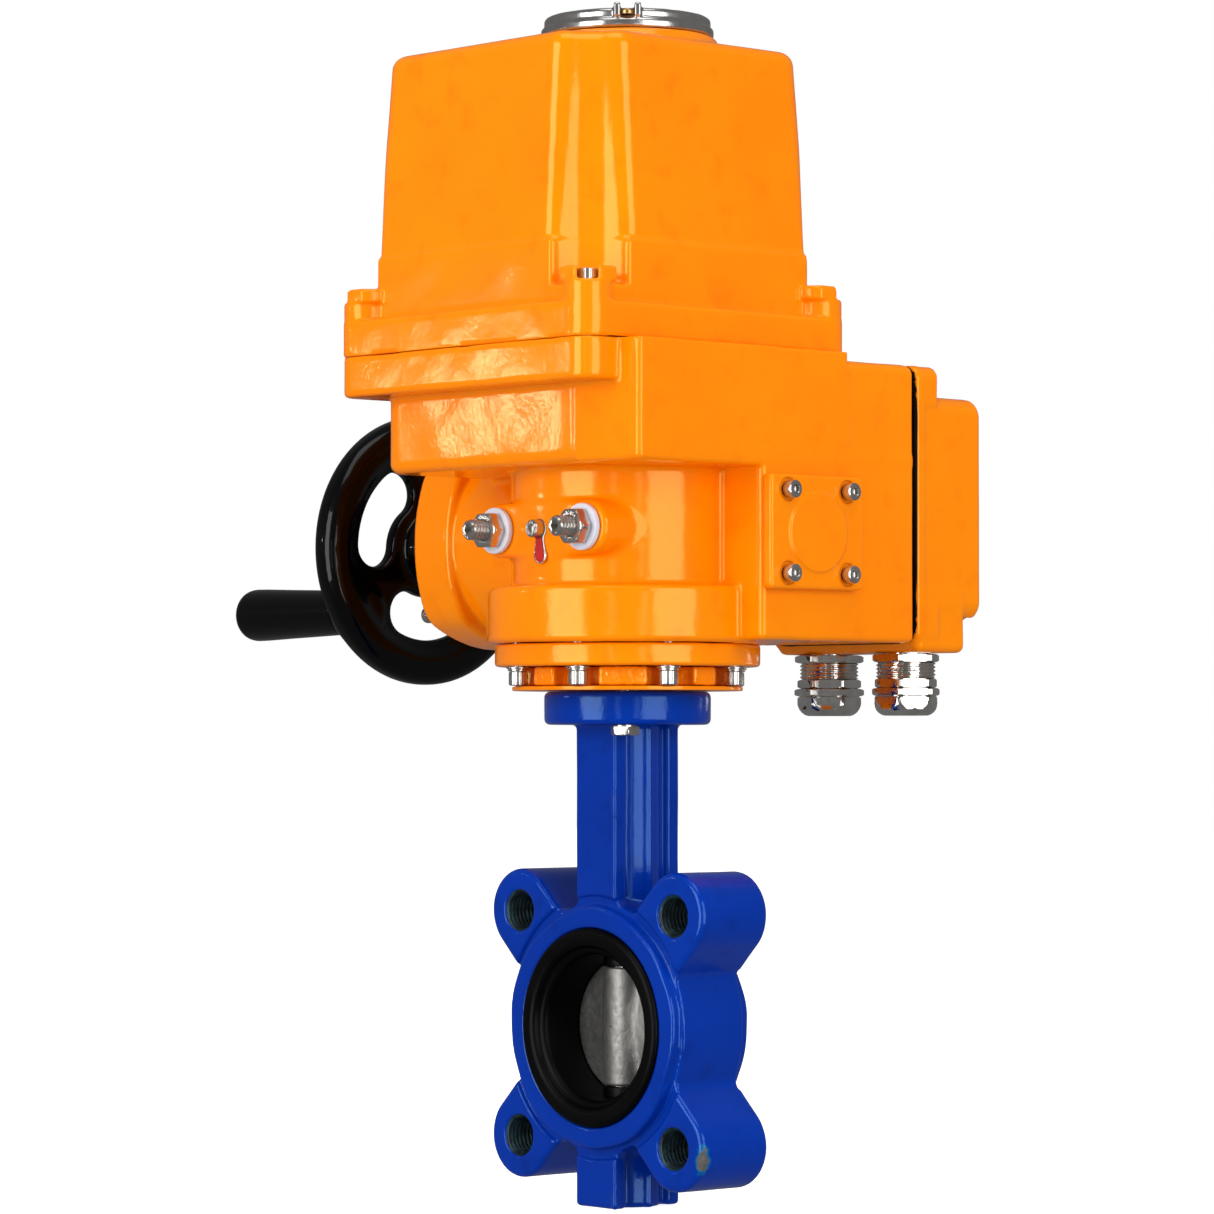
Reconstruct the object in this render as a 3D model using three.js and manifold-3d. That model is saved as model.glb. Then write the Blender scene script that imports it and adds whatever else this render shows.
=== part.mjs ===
// Motorised quarter-turn actuator mounted on a DN50 lug-type butterfly valve.
//
// Millimetres. +Z runs up the valve stem, +Y along the pipe and +X along the worm shaft, away from
// the handwheel. The origin is the middle of the closed disc, where the stem crosses the pipe axis.
// Every piece is one closed solid. Neighbours keep CLEARANCE between them.
import * as THREE from 'three';
import { mergeVertices } from 'three/addons/utils/BufferGeometryUtils.js';
import Module from 'manifold-3d';

const wasm = await Module();
wasm.setup();

// ---------------------------------------------------------------- driving dimensions
const CLEARANCE = 0.3;
const TURN = 2 * Math.PI;
const DEGREE = Math.PI / 180;

// Valve: DN50, PN16 bolting, 43 mm over the rubber faces.
const FACE_TO_FACE = 43;
const RING_WIDTH = 40;
const DRUM_WIDTH = 35;
const LUG_CIRCLE_R = 62.5;
const LUG_HOLE_R = 7;
const LUG_R = 16.5;
const SEAT_R = 38.5;
const SEAT_BORE_R = 28.2;
const DISC_R = 26.3;
const STEM_R = 6.35;
const STEM_SQUARE = 9;
const NECK_TOP_Z = 117.2;
const VALVE_TOP_Z = 130.1;
const HUB_BOTTOM_Z = -69.5;

// Actuator base: ISO 5211 F05, four M6 on a 50 mm circle, then eight screws on a 90 mm circle.
const TOP_FLANGE_R = 32.5;
const F05_CIRCLE_R = 25;
const BASE_SCREW_CIRCLE_R = 45;
const SHIM_TOP_Z = 132;
const ADAPTER_TOP_Z = 139.4;
const BASE_RING_TOP_Z = 148.4;
const FOOT_RING_TOP_Z = 170.6;

// Gear case and its drive.
const WORM_Y = 32.5;
const WORM_Z = 191;
const CASE_R = 45.5;
const CASE_SHOULDER_Z = 216;
const CASE_FLANGE_Z = 246;
const COVER_SEAM_Z = 261.8;
const WHEEL_TEETH = 40;
const WORM_MODULE = 1.25;
const WHEEL_PITCH_R = 25;
const WORM_PITCH_R = 7.5;
const SPUR_MODULE = 1.5;
const SPUR_TEETH = 24;
const PINION_TEETH = 12;
const MOTOR_DIRECTION = 40 * DEGREE;
const STOPPER_X = 25;

// Cover flange outline, which the case flange repeats.
const FLANGE = { x0: -91.5, x1: 58.6, y0: -72.5, y1: 64.8, corner: 9 };
const COVER_SCREW_INSET = 9;
const COVER_FLANGE_TOP_Z = 276;
const COVER_BAND_TOP_Z = 301;
const COVER_TOP_Z = 378;
const COLLAR_TOP_Z = 384.5;
const COVER_WALL = 5;

// Terminal box along the +X side.
const BOX_X0 = -15;
const BOX_X1 = 67.5;
const BOX_END_Y = 91.4;
const BOX_BOTTOM_Z = 149.5;
const BOX_TOP_Z = 258.8;
const GLAND_Y = 107;
const GLAND_XS = [4.5, 47.5];
const GLAND_SEAT_Z = 145.8;

// Handwheel.
const WHEEL_PLANE_X = -161;
const HANDWHEEL_R = 56.5;
const RIM_INNER_R = 42;
const CRANK_R = 44.2;
const CRANK_ANGLE = 217 * DEGREE;

// How many flats stand for a round surface, from drums and flanges down to screw shanks.
const BIG_SIDES = 24;
const MEDIUM_SIDES = 16;
const SMALL_SIDES = 12;
const TINY_SIDES = 6;
const CORNER_STEPS = 3;

// ---------------------------------------------------------------- finishes
const ENAMEL_ORANGE = { color: 0xff8c00, roughness: 0.25, metalness: 0 };
const ENAMEL_BLUE = { color: 0x002da0, roughness: 0.25, metalness: 0 };
const STAINLESS = { color: 0xc8c8c6, roughness: 0.25, metalness: 1 };
const CAST_STEEL = { color: 0x9a9a98, roughness: 0.5, metalness: 1 };
const BRONZE = { color: 0xb07a3c, roughness: 0.4, metalness: 1 };
const BLACK_RUBBER = { color: 0x101010, roughness: 0.6, metalness: 0 };
const BLACK_GLOSS = { color: 0x080808, roughness: 0.2, metalness: 0 };
const WHITE_NYLON = { color: 0xe6e6ee, roughness: 0.5, metalness: 0 };
const CLEAR_GLASS = { color: 0xdfeeee, roughness: 0.05, metalness: 0 };
const DIAL_YELLOW = { color: 0xf2c400, roughness: 0.5, metalness: 0 };
const GREEN_PLASTIC = { color: 0x2c7a4a, roughness: 0.5, metalness: 0 };

// ---------------------------------------------------------------- solids from geometries
function toSolid(geometry) {
  const bare = geometry.clone();
  for (const name of Object.keys(bare.attributes)) {
    if (name !== 'position') bare.deleteAttribute(name);
  }
  const merged = mergeVertices(bare, 1e-4);
  const index = merged.index.array;
  const triVerts = [];
  for (let i = 0; i < index.length; i += 3) {
    const [a, b, c] = index.slice(i, i + 3);
    if (a !== b && b !== c && c !== a) triVerts.push(a, b, c);
  }
  const vertProperties = merged.attributes.position.array;
  return new wasm.Manifold(
    new wasm.Mesh({ numProp: 3, vertProperties, triVerts: new Uint32Array(triVerts) }),
  );
}

function toGeometry(solid) {
  const mesh = solid.getMesh();
  const geometry = new THREE.BufferGeometry();
  geometry.setAttribute('position', new THREE.BufferAttribute(mesh.vertProperties, 3));
  geometry.setIndex(new THREE.BufferAttribute(mesh.triVerts, 1));
  geometry.computeVertexNormals();
  return geometry;
}

function join(...solids) {
  return solids.reduce((whole, piece) => whole.add(piece));
}

function cut(body, ...tools) {
  return tools.reduce((rest, tool) => rest.subtract(tool), body);
}

function block(x0, x1, y0, y1, z0, z1) {
  const geometry = new THREE.BoxGeometry(x1 - x0, y1 - y0, z1 - z0);
  return toSolid(geometry.translate((x0 + x1) / 2, (y0 + y1) / 2, (z0 + z1) / 2));
}

// A round or many-sided bar along one axis. The centre is given by the other two coordinates,
// in X, Y, Z order. endRadius makes it a cone.
function bar(axis, radius, from, to, [a, b] = [0, 0], sides = MEDIUM_SIDES, endRadius = radius) {
  const geometry = new THREE.CylinderGeometry(endRadius, radius, to - from, sides);
  geometry.translate(0, (from + to) / 2, 0);
  if (axis === 'x') return toSolid(geometry.rotateZ(-Math.PI / 2).translate(0, a, b));
  if (axis === 'y') return toSolid(geometry.translate(a, 0, b));
  return toSolid(geometry.rotateX(Math.PI / 2).translate(a, b, 0));
}

// An outline pushed along one axis. Along X the outline's own x and y are Y and Z,
// along Y they are X and Z, along Z they are X and Y.
function extrudeGeometry(axis, outline, from, to, curveSegments = CORNER_STEPS) {
  const depth = to - from;
  const geometry = new THREE.ExtrudeGeometry(outline, { depth, bevelEnabled: false, curveSegments });
  if (axis === 'y') return geometry.rotateX(Math.PI / 2).translate(0, to, 0);
  if (axis === 'x') {
    const turn = new THREE.Matrix4().set(0, 0, 1, 0, 1, 0, 0, 0, 0, 1, 0, 0, 0, 0, 0, 1);
    return geometry.applyMatrix4(turn).translate(from, 0, 0);
  }
  return geometry.translate(0, 0, from);
}

function extrude(axis, outline, from, to, curveSegments) {
  return toSolid(extrudeGeometry(axis, outline, from, to, curveSegments));
}

// A profile of [radius, height] points turned about the Y or Z axis, closed on itself or on the axis.
function turned(axis, profile, segments = BIG_SIDES) {
  const points = profile.map(([radius, height]) => new THREE.Vector2(radius, height));
  if (THREE.ShapeUtils.area(points) < 0) points.reverse();
  const geometry = new THREE.LatheGeometry(points, segments);
  return toSolid(axis === 'z' ? geometry.rotateX(Math.PI / 2) : geometry);
}

function roundedRect(x0, x1, y0, y1, r) {
  const shape = new THREE.Shape();
  shape.absarc(x1 - r, y0 + r, r, -Math.PI / 2, 0);
  shape.absarc(x1 - r, y1 - r, r, 0, Math.PI / 2);
  shape.absarc(x0 + r, y1 - r, r, Math.PI / 2, Math.PI);
  shape.absarc(x0 + r, y0 + r, r, Math.PI, 1.5 * Math.PI);
  shape.closePath();
  return shape;
}

function polygon(points) {
  return new THREE.Shape(points.map(([x, y]) => new THREE.Vector2(x, y)));
}

function onCircle(radius, angle) {
  return [radius * Math.cos(angle), radius * Math.sin(angle)];
}

// Evenly spaced points on a circle, from a first angle in degrees.
function circlePoints(count, radius, firstAngle) {
  return Array.from({ length: count }, (_, i) =>
    onCircle(radius, firstAngle * DEGREE + (i * TURN) / count),
  );
}

// Flanks of straight-sided teeth. Each tooth is centred on its angle.
function toothPoints(angles, pitchAngle, tipR, rootR, tipShare, rootShare) {
  return angles.flatMap((angle) => [
    onCircle(rootR, angle - rootShare * pitchAngle),
    onCircle(tipR, angle - tipShare * pitchAngle),
    onCircle(tipR, angle + tipShare * pitchAngle),
    onCircle(rootR, angle + rootShare * pitchAngle),
  ]);
}

// ---------------------------------------------------------------- the assembly
const actuator = new THREE.Group();

function add(name, solid, finish) {
  const mesh = new THREE.Mesh(toGeometry(solid), new THREE.MeshStandardMaterial(finish));
  mesh.name = name;
  actuator.add(mesh);
}

// ---------------------------------------------------------------- fasteners
const SOCKET_SHARE = 0.5;

// A hexagon-socket cap screw along Z whose head ends at headZ. up is true when the head is on top.
function capScrew([x, y], headZ, headR, headHeight, shankR, shankEndZ, up) {
  const seatZ = up ? headZ - headHeight : headZ + headHeight;
  const [low, high] = [Math.min(headZ, seatZ), Math.max(headZ, seatZ)];
  const socketEnd = up ? headZ - headHeight * SOCKET_SHARE : headZ + headHeight * SOCKET_SHARE;
  const socket = [Math.min(socketEnd, headZ + (up ? 0 : -1)), Math.max(socketEnd, headZ + (up ? 1 : 0))];
  const shank = [Math.min(seatZ, shankEndZ), Math.max(seatZ, shankEndZ)];
  const body = join(
    bar('z', headR, low, high, [x, y], SMALL_SIDES),
    bar('z', shankR, shank[0] - (up ? 0 : 1), shank[1] + (up ? 1 : 0), [x, y], TINY_SIDES),
  );
  return cut(body, bar('z', headR * 0.5, socket[0], socket[1], [x, y], 6));
}

// ---------------------------------------------------------------- valve
const LUG_ANGLES = [45, 135, 225, 315];
const NECK_HALF_X = 11.5;
const NECK_HALF_Y = 17.2;
const NECK_PLATE_Y = 10.5;
const NECK_COLUMN_R = 13;
const STEM_BORE_R = STEM_R + CLEARANCE;
const BUSH_R = 9;
const BUSH_BOTTOM_Z = 96;

function lugArms() {
  const arm = roundedRect(-LUG_R, LUG_CIRCLE_R + LUG_R, -LUG_R, LUG_R, LUG_R - 0.01);
  const half = DRUM_WIDTH / 2;
  const arms = LUG_ANGLES.map((angle) => {
    const geometry = extrudeGeometry('y', arm, -half, half);
    return toSolid(geometry.rotateY(-angle * DEGREE));
  });
  return join(...arms);
}

// The neck and the bottom hub share one section: two flat plates and a round column between them.
function neckSection(fromZ, toZ) {
  return join(
    block(-NECK_HALF_X, NECK_HALF_X, NECK_PLATE_Y, NECK_HALF_Y, fromZ, toZ),
    block(-NECK_HALF_X, NECK_HALF_X, -NECK_HALF_Y, -NECK_PLATE_Y, fromZ, toZ),
    bar('z', NECK_COLUMN_R, fromZ, toZ, [0, 0], MEDIUM_SIDES),
  );
}

function valveBody() {
  const casting = join(
    bar('y', 48.5, -DRUM_WIDTH / 2, DRUM_WIDTH / 2, [0, 0], BIG_SIDES),
    bar('y', 46.9, -RING_WIDTH / 2, RING_WIDTH / 2, [0, 0], BIG_SIDES),
    lugArms(),
    neckSection(40, NECK_TOP_Z + 1),
    neckSection(HUB_BOTTOM_Z, -40),
    bar('z', TOP_FLANGE_R, NECK_TOP_Z, VALVE_TOP_Z, [0, 0], BIG_SIDES),
  );
  const screwHoles = circlePoints(4, LUG_CIRCLE_R, 45).map((at) =>
    bar('y', LUG_HOLE_R, -FACE_TO_FACE, FACE_TO_FACE, at, SMALL_SIDES),
  );
  const flangeHoles = circlePoints(4, F05_CIRCLE_R, 45).map((at) =>
    bar('z', 3 + CLEARANCE, NECK_TOP_Z - 1, VALVE_TOP_Z + 1, at, TINY_SIDES),
  );
  return cut(
    casting,
    bar('y', SEAT_R + CLEARANCE, -FACE_TO_FACE, FACE_TO_FACE, [0, 0], BIG_SIDES),
    bar('z', STEM_BORE_R, -62, VALVE_TOP_Z + 1, [0, 0], SMALL_SIDES),
    bar('z', BUSH_R + CLEARANCE, BUSH_BOTTOM_Z - CLEARANCE, VALVE_TOP_Z + 1, [0, 0], SMALL_SIDES),
    ...screwHoles,
    ...flangeHoles,
  );
}

function valveSeat() {
  const half = FACE_TO_FACE / 2;
  const lip = 2.5;
  const profile = [
    [SEAT_R, -half],
    [SEAT_BORE_R + lip, -half],
    [SEAT_BORE_R, -half + lip],
    [DISC_R + CLEARANCE, -5],
    [DISC_R + CLEARANCE, 5],
    [SEAT_BORE_R, half - lip],
    [SEAT_BORE_R + lip, half],
    [SEAT_R, half],
    [SEAT_R, -half],
  ];
  return cut(turned('y', profile), bar('z', STEM_BORE_R, -60, 60, [0, 0], SMALL_SIDES));
}

function valveDisc() {
  const profile = [
    [0, -4.5],
    [14, -4],
    [DISC_R, -1.6],
    [DISC_R, 1.6],
    [14, 4],
    [0, 4.5],
  ];
  const boss = bar('z', 9, -24.4, 24.4, [0, 0], MEDIUM_SIDES);
  const disc = join(turned('y', profile), boss);
  return cut(disc, bar('z', STEM_BORE_R, -30, 30, [0, 0], SMALL_SIDES));
}

function valveStem() {
  const half = STEM_SQUARE / 2;
  const squareEnd = block(-half, half, -half, half, 131, 149);
  return join(bar('z', STEM_R, -61, 131.5, [0, 0], SMALL_SIDES), squareEnd);
}

function stemBush() {
  const outer = bar('z', BUSH_R, BUSH_BOTTOM_Z, VALVE_TOP_Z, [0, 0], SMALL_SIDES);
  return cut(outer, bar('z', STEM_BORE_R, BUSH_BOTTOM_Z - 1, VALVE_TOP_Z + 1, [0, 0], SMALL_SIDES));
}

add('valve_body', valveBody(), ENAMEL_BLUE);
add('valve_seat', valveSeat(), BLACK_RUBBER);
add('valve_disc', valveDisc(), CAST_STEEL);
add('valve_stem', valveStem(), STAINLESS);
add('stem_bush', stemBush(), BRONZE);

circlePoints(2, F05_CIRCLE_R, 135).forEach(([x, y], i) => {
  const seatZ = NECK_TOP_Z - CLEARANCE;
  const head = bar('z', 5.5, seatZ - 4, seatZ, [x, y], 6);
  const shank = bar('z', 3, seatZ - 1, 138, [x, y], TINY_SIDES);
  add(`flange_bolt_${i + 1}`, join(head, shank), STAINLESS);
});

// ---------------------------------------------------------------- adapter and base ring
const SLEEVE_R = 13;
const SLEEVE_BORE_R = SLEEVE_R + CLEARANCE;
const BASE_SCREWS = circlePoints(8, BASE_SCREW_CIRCLE_R, 22.5);
const SPIGOT_R = 17.5;

function adapterShim() {
  const disc = bar('z', BASE_SCREW_CIRCLE_R, VALVE_TOP_Z + CLEARANCE, SHIM_TOP_Z, [0, 0], BIG_SIDES);
  const holes = circlePoints(4, F05_CIRCLE_R, 45).map((at) =>
    bar('z', 3 + CLEARANCE, 120, 140, at, TINY_SIDES),
  );
  return cut(disc, bar('z', SPIGOT_R, 120, 140, [0, 0], MEDIUM_SIDES), ...holes);
}

// The plate is cut back round each screw head. Each pocket reaches sideways, away from the corner lobes.
function adapterPlate() {
  const POCKET_R = 7.9;
  const SIDE_REACH = 3.5;
  const bottom = SHIM_TOP_Z + CLEARANCE;
  const plate = bar('z', 44.5, bottom, ADAPTER_TOP_Z, [0, 0], BIG_SIDES);
  const pockets = BASE_SCREWS.flatMap(([x, y]) => {
    const alongX = Math.abs(x) < Math.abs(y);
    const sideways = alongX
      ? [x - Math.sign(x) * SIDE_REACH, y]
      : [x, y - Math.sign(y) * SIDE_REACH];
    return [[x, y], sideways].map((at) =>
      bar('z', POCKET_R, bottom - 1, ADAPTER_TOP_Z + 1, at, MEDIUM_SIDES),
    );
  });
  const boltHoles = circlePoints(4, F05_CIRCLE_R, 45).map((at) =>
    bar('z', 3 + CLEARANCE, bottom - 1, 138 + CLEARANCE, at, TINY_SIDES),
  );
  return cut(plate, bar('z', SLEEVE_BORE_R, 120, 150, [0, 0], MEDIUM_SIDES), ...pockets, ...boltHoles);
}

function baseRing() {
  const ring = bar('z', 51.8, ADAPTER_TOP_Z + CLEARANCE, BASE_RING_TOP_Z, [0, 0], BIG_SIDES);
  const holes = BASE_SCREWS.map((at) => bar('z', 2.5 + CLEARANCE, 130, 150, at, TINY_SIDES));
  return cut(ring, bar('z', SLEEVE_BORE_R, 130, 150, [0, 0], MEDIUM_SIDES), ...holes);
}

add('adapter_shim', adapterShim(), ENAMEL_ORANGE);
add('adapter_plate', adapterPlate(), ENAMEL_ORANGE);
add('base_ring', baseRing(), ENAMEL_ORANGE);

const BASE_SCREW_END_Z = 163;
BASE_SCREWS.forEach((at, i) => {
  const headZ = SHIM_TOP_Z + CLEARANCE;
  const washer = bar('z', 4.6, headZ + 5, ADAPTER_TOP_Z, at, SMALL_SIDES);
  const screw = capScrew(at, headZ, 3.7, 5.5, 2.5, BASE_SCREW_END_Z, false);
  add(`base_screw_${i + 1}`, join(screw, washer), STAINLESS);
});

// ---------------------------------------------------------------- gear case
const WORM_AT = [WORM_Y, WORM_Z];
const BEARING_BORE_R = 13.3;
const FRONT_CASE_Y = -60;
const BOX_FRONT_Y = -56;
const LOWER_BOX_Y = 7.8;
const LEFT_BOSS = { end: -118, step: -96, neckR: 41.5 };
const LEFT_BOSS_QUARTER = [[43.2, 8], [36, 32], [8, 42.4]];
const CAP_HALF_Y = 25.25;
const CAP_HALF_Z = 22;
const CAP_SCREWS = [
  [-16, -16],
  [16, -16],
  [16, 16],
  [-16, 16],
];

// Outline of the case under the flange, seen from above, with the front slightly faceted.
function upperCaseOutline() {
  return polygon([
    [-67, FRONT_CASE_Y],
    [37.5, FRONT_CASE_Y],
    [BOX_X1, BOX_FRONT_Y],
    [BOX_X1, BOX_END_Y],
    [BOX_X0, BOX_END_Y],
    [BOX_X0, 50],
    [-67, 50],
    [-76, 47],
    [-79, 38],
    [-79, -48],
    [-76, -57],
  ]);
}

function flangeOutline(inset = 0) {
  const { x0, x1, y0, y1, corner } = FLANGE;
  return roundedRect(x0 + inset, x1 - inset, y0 + inset, y1 - inset, corner);
}

const COVER_SCREWS = [
  [FLANGE.x1 - COVER_SCREW_INSET, FLANGE.y0 + COVER_SCREW_INSET],
  [FLANGE.x1 - COVER_SCREW_INSET, FLANGE.y1 - COVER_SCREW_INSET],
  [FLANGE.x0 + COVER_SCREW_INSET, FLANGE.y1 - COVER_SCREW_INSET],
  [FLANGE.x0 + COVER_SCREW_INSET, FLANGE.y0 + COVER_SCREW_INSET],
];

// A square with bulging sides, built from the outline of one quarter.
function leftBossOutline() {
  const mirrored = LEFT_BOSS_QUARTER.map(([y, z]) => [-y, z]).reverse();
  const upper = [...LEFT_BOSS_QUARTER, ...mirrored];
  const lower = upper.map(([y, z]) => [-y, -z]);
  return polygon([...upper, ...lower].map(([y, z]) => [WORM_Y + y, WORM_Z + z]));
}

function leftBoss() {
  const { end, step, neckR } = LEFT_BOSS;
  return join(
    extrude('x', leftBossOutline(), end, step),
    bar('x', neckR, step - 1, -20, WORM_AT, BIG_SIDES),
  );
}

function caseOutside() {
  const stopperPad = roundedRect(-36, 36, WORM_Z - 10.5, WORM_Z + 10.5, 10.4);
  return join(
    bar('z', 55, BASE_RING_TOP_Z + CLEARANCE, FOOT_RING_TOP_Z, [0, 0], BIG_SIDES),
    bar('z', CASE_R, FOOT_RING_TOP_Z - 5, CASE_SHOULDER_Z + 5, [0, 0], BIG_SIDES),
    extrude('y', stopperPad, -45, -10),
    leftBoss(),
    extrude('z', upperCaseOutline(), CASE_SHOULDER_Z, BOX_TOP_Z),
    extrude('z', flangeOutline(), CASE_FLANGE_Z, COVER_SEAM_Z),
    block(40, BOX_X1, BOX_FRONT_Y + 2, 54, CASE_SHOULDER_Z, COVER_SEAM_Z),
    block(BOX_X0, BOX_X1, LOWER_BOX_Y, BOX_END_Y, BOX_BOTTOM_Z, CASE_SHOULDER_Z + 5),
  );
}

const BOX_INSIDE = { x0: BOX_X0 + 5, x1: BOX_X1 - 6, y0: 12.4, z0: BOX_BOTTOM_Z + 6, z1: BOX_TOP_Z - 6 };
const GEAR_ROOM = { r: 34, z0: 180, z1: 202 };
const CAM_SHAFT_R = 5;
const CASE_FLOOR_Z = 224;

function gearHousing() {
  const inside = [
    extrude('z', roundedRect(-66, 40, -52, 42, 8), CASE_FLOOR_Z, COVER_SEAM_Z + 1),
    bar('z', GEAR_ROOM.r, GEAR_ROOM.z0, GEAR_ROOM.z1, [0, 0], BIG_SIDES),
    block(BOX_INSIDE.x0, BOX_INSIDE.x1, BOX_INSIDE.y0, BOX_END_Y + 1, BOX_INSIDE.z0, BOX_INSIDE.z1),
    block(40 + 5, BOX_INSIDE.x1, BOX_FRONT_Y + 6, BOX_INSIDE.y0 + 1, CASE_FLOOR_Z, BOX_INSIDE.z1),
    bar('z', SLEEVE_BORE_R, 140, GEAR_ROOM.z0 + 1, [0, 0], MEDIUM_SIDES),
    bar('z', CAM_SHAFT_R + CLEARANCE, GEAR_ROOM.z1 - 1, CASE_FLOOR_Z + 1, [0, 0], SMALL_SIDES),
    bar('x', 10, LEFT_BOSS.end - 1, 0, WORM_AT, MEDIUM_SIDES),
    bar('x', BEARING_BORE_R, LEFT_BOSS.end - 1, LEFT_BOSS.end + 13, WORM_AT, MEDIUM_SIDES),
    bar('x', BEARING_BORE_R, BOX_INSIDE.x1 - 1, BOX_X1 + 1, WORM_AT, MEDIUM_SIDES),
  ];
  const holes = [
    ...BASE_SCREWS.map((at) =>
      bar('z', 2.5 + CLEARANCE, 140, BASE_SCREW_END_Z + CLEARANCE, at, TINY_SIDES),
    ),
    ...COVER_SCREWS.map((at) => bar('z', 2.5 + CLEARANCE, 248, COVER_SEAM_Z + 1, at, TINY_SIDES)),
    ...CAP_SCREWS.map(([y, z]) =>
      bar('x', 2 + CLEARANCE, 61.9, BOX_X1 + 1, [WORM_Y + y, WORM_Z + z], TINY_SIDES),
    ),
    ...[-STOPPER_X, STOPPER_X].map((x) =>
      bar('y', 4 + CLEARANCE, -46, 0, [x, WORM_Z], SMALL_SIDES),
    ),
    bar('y', 2 + CLEARANCE, -46, -38, [0, WORM_Z], TINY_SIDES),
  ];
  return cut(caseOutside(), ...inside, ...holes);
}

add('gear_housing', gearHousing(), ENAMEL_ORANGE);

// ---------------------------------------------------------------- output drive
const SLEEVE_TOP_Z = GEAR_ROOM.z1 - CLEARANCE;
const WHEEL_HALF_HEIGHT = 4;

function driveSleeve() {
  const half = STEM_SQUARE / 2 + CLEARANCE;
  const tube = bar('z', SLEEVE_R, ADAPTER_TOP_Z - 6, SLEEVE_TOP_Z, [0, 0], MEDIUM_SIDES);
  return cut(tube, block(-half, half, -half, half, 120, 150));
}

// A toothed sector of 150 degrees. Its two plain end faces meet the stopper bolts at 0 and 90 degrees.
function wormWheel() {
  const pitchAngle = TURN / WHEEL_TEETH;
  const toothAngles = Array.from({ length: 16 }, (_, i) => (-22.5 + 9 * i) * DEGREE);
  const tipR = WHEEL_PITCH_R + 0.88 * WORM_MODULE;
  const rootR = WHEEL_PITCH_R - 1.12 * WORM_MODULE;
  const stopR = tipR - 0.1;
  const hub = Array.from({ length: 9 }, (_, i) => onCircle(17, (121 + (208 * i) / 8) * DEGREE));
  const outline = polygon([
    onCircle(stopR, -31 * DEGREE),
    onCircle(stopR, -28.5 * DEGREE),
    ...toothPoints(toothAngles, pitchAngle, tipR, rootR, 0.12, 0.29),
    onCircle(stopR, 118.5 * DEGREE),
    onCircle(stopR, 121 * DEGREE),
    ...hub,
  ]);
  const low = WORM_Z - WHEEL_HALF_HEIGHT;
  const geometry = extrudeGeometry('z', outline, low, WORM_Z + WHEEL_HALF_HEIGHT);
  slantTeeth(geometry);
  return cut(toSolid(geometry), bar('z', SLEEVE_BORE_R, low - 1, WORM_Z + 10, [0, 0], MEDIUM_SIDES));
}

// Turns each level of the wheel a little, so that its teeth lie along the worm's thread.
function slantTeeth(geometry) {
  const places = geometry.attributes.position;
  const turnPerMm = WORM_MODULE / (2 * WORM_PITCH_R) / WHEEL_PITCH_R;
  const point = new THREE.Vector3();
  const up = new THREE.Vector3(0, 0, 1);
  for (let i = 0; i < places.count; i += 1) {
    point.fromBufferAttribute(places, i);
    point.applyAxisAngle(up, -(point.z - WORM_Z) * turnPerMm);
    places.setXYZ(i, point.x, point.y, point.z);
  }
}

const CAM_SHAFT_TOP_Z = 379;

function camShaft() {
  const shaft = bar('z', CAM_SHAFT_R, SLEEVE_TOP_Z + CLEARANCE, CAM_SHAFT_TOP_Z, [0, 0], SMALL_SIDES);
  const cams = [276, 288].map((z, i) => {
    const cam = bar('z', 13, z, z + 6, [0, 0], MEDIUM_SIDES);
    const flat = i === 0 ? block(9, 20, -20, 20, z - 1, z + 7) : block(-20, 20, 9, 20, z - 1, z + 7);
    return cut(cam, flat);
  });
  return join(shaft, ...cams);
}

function indicatorDial() {
  const dialZ = CAM_SHAFT_TOP_Z + CLEARANCE;
  const disc = bar('z', 24, dialZ, dialZ + 1.6, [0, 0], BIG_SIDES);
  const pointer = block(-3, 3, -20, 20, dialZ + 1, dialZ + 3.6);
  return join(disc, pointer);
}

add('drive_sleeve', driveSleeve(), STAINLESS);
add('worm_wheel', wormWheel(), BRONZE);
add('cam_shaft', camShaft(), STAINLESS);
add('indicator_dial', indicatorDial(), DIAL_YELLOW);

// ---------------------------------------------------------------- worm shaft and its bearings
const SHAFT_R = 6;
const SHAFT_END_X = 66;
const SPUR_X = [42, 49];
const THREAD_TURNS = 4;

// A straight ridge bent into a left-hand helix on the shaft.
function wormThread() {
  const STEPS_PER_TURN = 14;
  const length = THREAD_TURNS * TURN;
  const geometry = new THREE.BoxGeometry(length, 1, 1, THREAD_TURNS * STEPS_PER_TURN, 1, 1);
  const places = geometry.attributes.position;
  const pitch = Math.PI * WORM_MODULE;
  for (let i = 0; i < places.count; i += 1) {
    const angle = places.getX(i) + Math.PI;
    const atCrest = places.getY(i) > 0;
    const radius = atCrest ? WORM_PITCH_R + 0.88 * WORM_MODULE : SHAFT_R - 1.5;
    const halfWidth = atCrest ? 0.5 : 1.1;
    const along = -Math.sign(places.getZ(i)) * halfWidth - (pitch * (angle - Math.PI)) / TURN;
    places.setXYZ(i, along, WORM_Y + radius * Math.cos(angle), WORM_Z + radius * Math.sin(angle));
  }
  return toSolid(geometry);
}

function spurOutline(teeth, firstAngle) {
  const pitchR = (SPUR_MODULE * teeth) / 2;
  const pitchAngle = TURN / teeth;
  const angles = Array.from({ length: teeth }, (_, i) => firstAngle + i * pitchAngle);
  return polygon(
    toothPoints(angles, pitchAngle, pitchR + 0.8 * SPUR_MODULE, pitchR - 1.1 * SPUR_MODULE, 0.1, 0.28),
  );
}

function wormShaft() {
  const spur = toSolid(
    extrudeGeometry('x', spurOutline(SPUR_TEETH, MOTOR_DIRECTION), ...SPUR_X).translate(0, WORM_Y, WORM_Z),
  );
  return join(bar('x', SHAFT_R, -166, SHAFT_END_X, WORM_AT, SMALL_SIDES), wormThread(), spur);
}

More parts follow.
